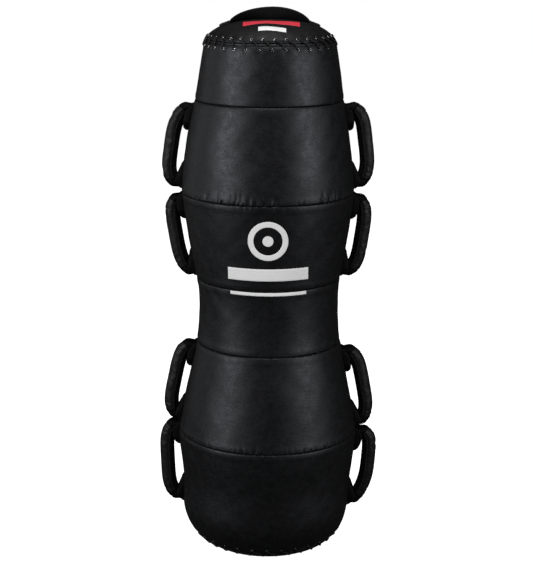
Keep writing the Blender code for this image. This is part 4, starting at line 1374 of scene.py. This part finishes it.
def add_wedge(handle, end, fold, inward, profile):
    """The folded leather between a grip's end and the wall, down to its tip on the wall.
    Its near-black colour is painted shade where the handle meets the bag.
    """
    rings = []
    across = np.linspace(-1, 1, WEDGE_COLUMNS)
    for distance in np.linspace(profile[0][0], profile[0][-1], WEDGE_ROWS):
        spots = [wedge_spot(handle, fold, inward, profile, distance, share) for share in across]
        reach = spots[0][1] * WEDGE_BACK_SHARE
        rings.append([point for point, _ in spots]
                     + [wall_spot(handle, fold + inward * distance, share * reach, WEDGE_BACK_DEPTH)
                        for share in across[::-1]])
    points = sum(rings[::-inward], [])
    add_handle_mesh(handle, end + "_wedge", points, 2 * WEDGE_COLUMNS, tab_leather_painted_shade,
                    [handle.name + "_" + end + "_tab"])


def wedge_stitches(handle, fold, inward, profile):
    """A row down each side of a wedge and one across its tip."""
    lines = [[(distance, share) for distance in np.linspace(*WEDGE_SEWN, 20)]
             for share in (-WEDGE_SEW_SHARE, WEDGE_SEW_SHARE)]
    lines.append([(WEDGE_SEWN[1], share) for share in np.linspace(-WEDGE_SEW_SHARE, WEDGE_SEW_SHARE, 20)])
    rows = []
    for line in lines:
        path = [wedge_spot(handle, fold, inward, profile, *spot)[0] for spot in line]
        rows.append((path, [Vector((point.x, point.y * WEDGE_EDGE_LEAN, 0)).normalized()
                            for point in path]))
    return rows


grip_leather = surface("sleeve_leather", LEATHER_GROUP, 0.24, {
    "Pebble": 0.0012, "Pebble depth": 0.00007, "Cloud": 0.010, "Gloss low": 0.46, "Gloss high": 0.60,
    "Dark": (0.0026, 0.0026, 0.0028, 1), "Light": (0.0052, 0.0052, 0.0055, 1)})
# The wedges and cuffs take a near-black copy of the leather: painted shade at the handles' roots, where
# they meet the bag.
tab_leather_painted_shade = surface("wedge_leather_painted_shade", LEATHER_GROUP, 0.07, {
    "Pebble": 0.0012, "Pebble depth": 0.00008, "Cloud": 0.010, "Gloss low": 0.6, "Gloss high": 0.75,
    "Dark": (0.0008, 0.0008, 0.0008, 1), "Light": (0.0016, 0.0016, 0.0017, 1)})


def make_foam_group():
    """Closed-cell foam: small round cells, cut through at the skin. The cells' hollows are
    painted darker as shade.
    """
    effect = Effect("closed_foam", {
        "Cell": 0.0012, "Depth": 0.0003,
        "Dark": (0.10, 0.10, 0.11, 1), "Light": (0.20, 0.20, 0.21, 1)})
    wall = reckon("MINIMUM", effect.cells("Cell"), 1.0)
    return effect.finish(wall, wall * 0.1 + 0.8, wall * effect["Depth"])


foam = surface("grip_foam", make_foam_group(), 0.3)
for seed, handle_name in enumerate(HANDLES, start=300):
    handle = Handle(handle_name)
    add_sleeve(handle, seed)
    add_core(handle)
    add_backing(handle)
    add_cuff(handle, seed, "upper", (0, CUFF_ROWS["upper"]))
    add_cuff(handle, seed, "lower", (GRIP_ROWS - CUFF_ROWS["lower"], GRIP_ROWS))
    sewing = sleeve_stitches(handle, seed)
    for wedge_end, fold, inward, profile in (("upper", handle.upper, -1, WEDGE_UPPER),
                                             ("lower", handle.lower, 1, WEDGE_LOWER)):
        add_wedge(handle, wedge_end, fold, inward, profile)
        sewing += wedge_stitches(handle, fold, inward, profile)
    add_stitches(handle_name, sewing, handle.bind)


# The filling: textile scraps rammed in layer by layer, one layer to a panel, over a canvas sack of
# sand in the foot. Each layer is packed against the leather and stays clear of the seams' raw edges.
FILLING_COLUMNS = 96
FILLING_STEPS = 14
FILLING_BACK = 2 * LEATHER + 0.0012
FILLING_NARROWED = 0.019
FILLING_CHAMFER = 0.018
FILLING_NECK = RIM_RADIUS - 0.0175
FILLING_SHOULDER = 0.030
FILLING_LUMP, SACK_LUMP = 0.0010, 0.0008
FILLING_SEED, SACK_SEED = 500, 520
SACK_WAIST, SACK_REST = 0.155, 0.105
SACK_SHOULDER = ((-0.010, 0), (-0.002, -0.004), (-0.001, -0.010))
SACK_FOOT = ((SACK_WAIST, 0.034), (SACK_WAIST - 0.012, 0.022), (SACK_REST, 0.004), (SACK_REST - 0.006, 0))
DOME_START = math.radians(80)
LUMP_WAVES, LUMP_MIDDLE = (10, (3, 16), (6, 16)), 2.6


def add_turned(name, profile, seed, lump, material):
    """A packed form from (radius, height) pairs down its side, closed at the top and bottom."""
    turn = turns(FILLING_COLUMNS)
    radius, height = (np.array(column)[:, None] for column in zip(*profile))
    radius = radius - lump * (1 + waves(seed, *LUMP_WAVES, turn, height) / LUMP_MIDDLE)
    points = np.concatenate((ring_points(radius, turn, height),
                             [(0, 0, profile[0][1]), (0, 0, profile[-1][1])]))
    dress(add_mesh(name + "_packed", points, closed_faces(len(profile), FILLING_COLUMNS)),
          material, [name])


def filling_profile(index, low, high):
    """A layer's side, drawn in at both ends where the seams' raw edges stand inside."""
    profile = []
    for z in np.linspace(high, low, FILLING_STEPS):
        radius = float(plain_radius(index, np.clip(z, EDGES[index + 1], EDGES[index]))) - FILLING_BACK
        edge = EDGES[index] - z
        if index < len(PANELS) - 1:
            edge = min(edge, z - EDGES[index + 1])
        profile.append((radius - FILLING_NARROWED * max(0.0, 1 - edge / FILLING_CHAMFER) ** 1.5, float(z)))
    return profile


def collar_profile(low, high):
    """The top layer is domed under the cap, and draws in past the lacing."""
    rise = high - RIM_HEIGHT
    dome = [(FILLING_NECK * math.cos(turn),
             RIM_HEIGHT + rise * math.sin(turn) ** CAP_SHARPNESS - LEATHER)
            for turn in np.linspace(DOME_START, 0, FILLING_STEPS)]
    side = [(radius, z) for radius, z in filling_profile(0, low, high) if z < RIM_HEIGHT - FILLING_SHOULDER]
    return dome + [(FILLING_NECK, RIM_HEIGHT - 0.7 * FILLING_SHOULDER)] + side


def make_packed_group():
    """Packed cloth: flat scraps of several shades, with a woven tooth."""
    effect = Effect("packed_cloth", {
        "Scrap": 0.022, "Weave": 0.0011, "Depth": 0.0007,
        "Dark": (0.10, 0.10, 0.12, 1), "Light": (0.46, 0.44, 0.41, 1)})
    shade = node(effect.tree, "ShaderNodeSeparateColor", {0: effect.cells("Scrap", "Color")})
    weave = effect.noise(1.0 / effect["Weave"], 2.0)
    return effect.finish(shade * (weave * 0.6 + 0.6), weave * 0.1 + 0.82,
                         (weave * 0.15 + effect.cells("Scrap")) * effect["Depth"])


PACKED_GROUP = make_packed_group()
textile = surface("textile_scraps", PACKED_GROUP, 0.2)
canvas = surface("canvas_sack", PACKED_GROUP, 0.2, {
    "Scrap": 0.10, "Weave": 0.0008, "Depth": 0.0004,
    "Dark": (0.33, 0.28, 0.20, 1), "Light": (0.52, 0.45, 0.34, 1)})
for index, panel in enumerate(PANELS):
    layer = panel.replace("panel", "filling")
    (*_, layer_low), (*_, layer_high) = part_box(layer)
    profile = (filling_profile(index, layer_low, layer_high) if index
               else collar_profile(layer_low, layer_high))
    add_turned(layer, profile, FILLING_SEED + index, FILLING_LUMP, textile)
(*_, sack_low), (*_, sack_high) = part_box("sand_weight")
sack_top = float(base_radius(sack_high)) - FILLING_BACK
sack_profile = [(sack_top + x, sack_high + z) for x, z in SACK_SHOULDER]
sack_profile += [(x, sack_low + z) for x, z in SACK_FOOT]
add_turned("sand_weight", sack_profile, SACK_SEED, SACK_LUMP, canvas)


# The prints: flexible white and red ink, laid on through a screen. They are plain marks for aim: a
# target ring with a dot over two bars in front, and two short bars on the cap.
INK_LIFT = 0.00025
INK_EDGE = -0.0002
INK_STEP = 0.0035
TARGET_HEIGHT = 0.7375
TARGETS = {
    # name: inner and outer radius
    "target_ring": (0.0310, 0.0430),
    "target_dot": (0.00023, 0.0115),
}
BARS = {
    # name: panel, middle height, width, height
    "front_bar": (2, 0.6615, 0.180, 0.0270),
    "lower_bar": (3, 0.6174, 0.170, 0.0070),
}
CAP_BARS = {
    # name: middle x and y on the cap, width, length to the front
    "cap_red_bar": (0.0035, -0.054, 0.120, 0.034),
    "cap_white_bar": (0.0050, -0.101, 0.058, 0.017),
}


def on_panel(index, x, z, lift):
    """Points of the leather that a flat screen would print, at the front."""
    angle = FRONT + x / plain_radius(index, z)
    return ring_points(shell_radius(index, angle, z) + lift, angle, z)


def on_cap(x, y, lift):
    height = cap_height(np.hypot(x, y), np.arctan2(y, x)) + lift
    return np.stack((x, y, height), axis=-1).reshape(-1, 3)


def add_ink(name, rows, place, material, closed):
    """A printed patch from rows of flat (x, y) spots. Its outline is let into the leather."""
    x, y = np.moveaxis(np.array(rows), -1, 0)
    lift = np.full(x.shape, INK_LIFT)
    lift[[0, -1]] = INK_EDGE
    if not closed:
        lift[:, [0, -1]] = INK_EDGE
    patch = add_mesh(name, place(x, y, lift), grid_faces(*x.shape, round_columns=closed))
    dress(patch, material)


def ring_rows(middle, inner, outer):
    """Rows of spots round a ring, from its outline in to its hole."""
    count = int(math.tau * outer / INK_STEP) * 2
    radii = [outer + INK_LIFT, outer, *np.linspace(outer, inner, 6)[1:-1], inner, inner - INK_LIFT]
    return [[(reach * math.cos(turn), middle + reach * math.sin(turn)) for turn in turns(count)[0]]
            for reach in radii]


def bar_rows(middle, width, height):
    """Rows of spots across a bar, with a narrow outline of their own."""
    across = [-width / 2 - INK_LIFT, *np.linspace(-width / 2, width / 2, int(width / INK_STEP) + 2),
              width / 2 + INK_LIFT]
    down = [height / 2 + INK_LIFT, *np.linspace(height / 2, -height / 2, int(height / INK_STEP) + 2),
            -height / 2 - INK_LIFT]
    return [[(middle[0] + x, middle[1] + y) for x in across] for y in down]


def make_ink_group():
    """Screen ink on leather: a thin even coat that is worn off the grain's tops in places."""
    effect = Effect("screen_ink", {
        "Wear": 0.9, "Pebble": 0.0011, "Depth": 0.00004,
        "Ink": (0.67, 0.67, 0.67, 1), "Leather": (0.006, 0.006, 0.006, 1)})
    fine = effect.noise(0.8 / effect["Pebble"])
    patch = effect.noise(26.0, 4.0)
    worn = reckon("MAXIMUM", (fine + patch) * effect["Wear"] - 1.08, 0.0) * 3.0
    return effect.finish(reckon("MINIMUM", worn, 0.8), fine * 0.2 + 0.45, fine * effect["Depth"],
                         "Ink", "Leather")


INK_GROUP = make_ink_group()
white_ink = surface("white_ink", INK_GROUP, 0.35)
red_ink = surface("red_ink", INK_GROUP, 0.35, {"Ink": (0.52, 0.022, 0.040, 1)})
for target_name, (hole, outline) in TARGETS.items():
    add_ink(target_name, ring_rows(TARGET_HEIGHT, hole, outline), lambda *spot: on_panel(2, *spot),
            white_ink, closed=True)
for bar_name, (index, middle, width, height) in BARS.items():
    add_ink(bar_name, bar_rows((0, middle), width, height), lambda *spot: on_panel(index, *spot),
            white_ink, closed=False)
for bar_name, (x, y, width, height) in CAP_BARS.items():
    add_ink(bar_name, bar_rows((x, y), width, height), on_cap,
            red_ink if "red" in bar_name else white_ink, closed=False)
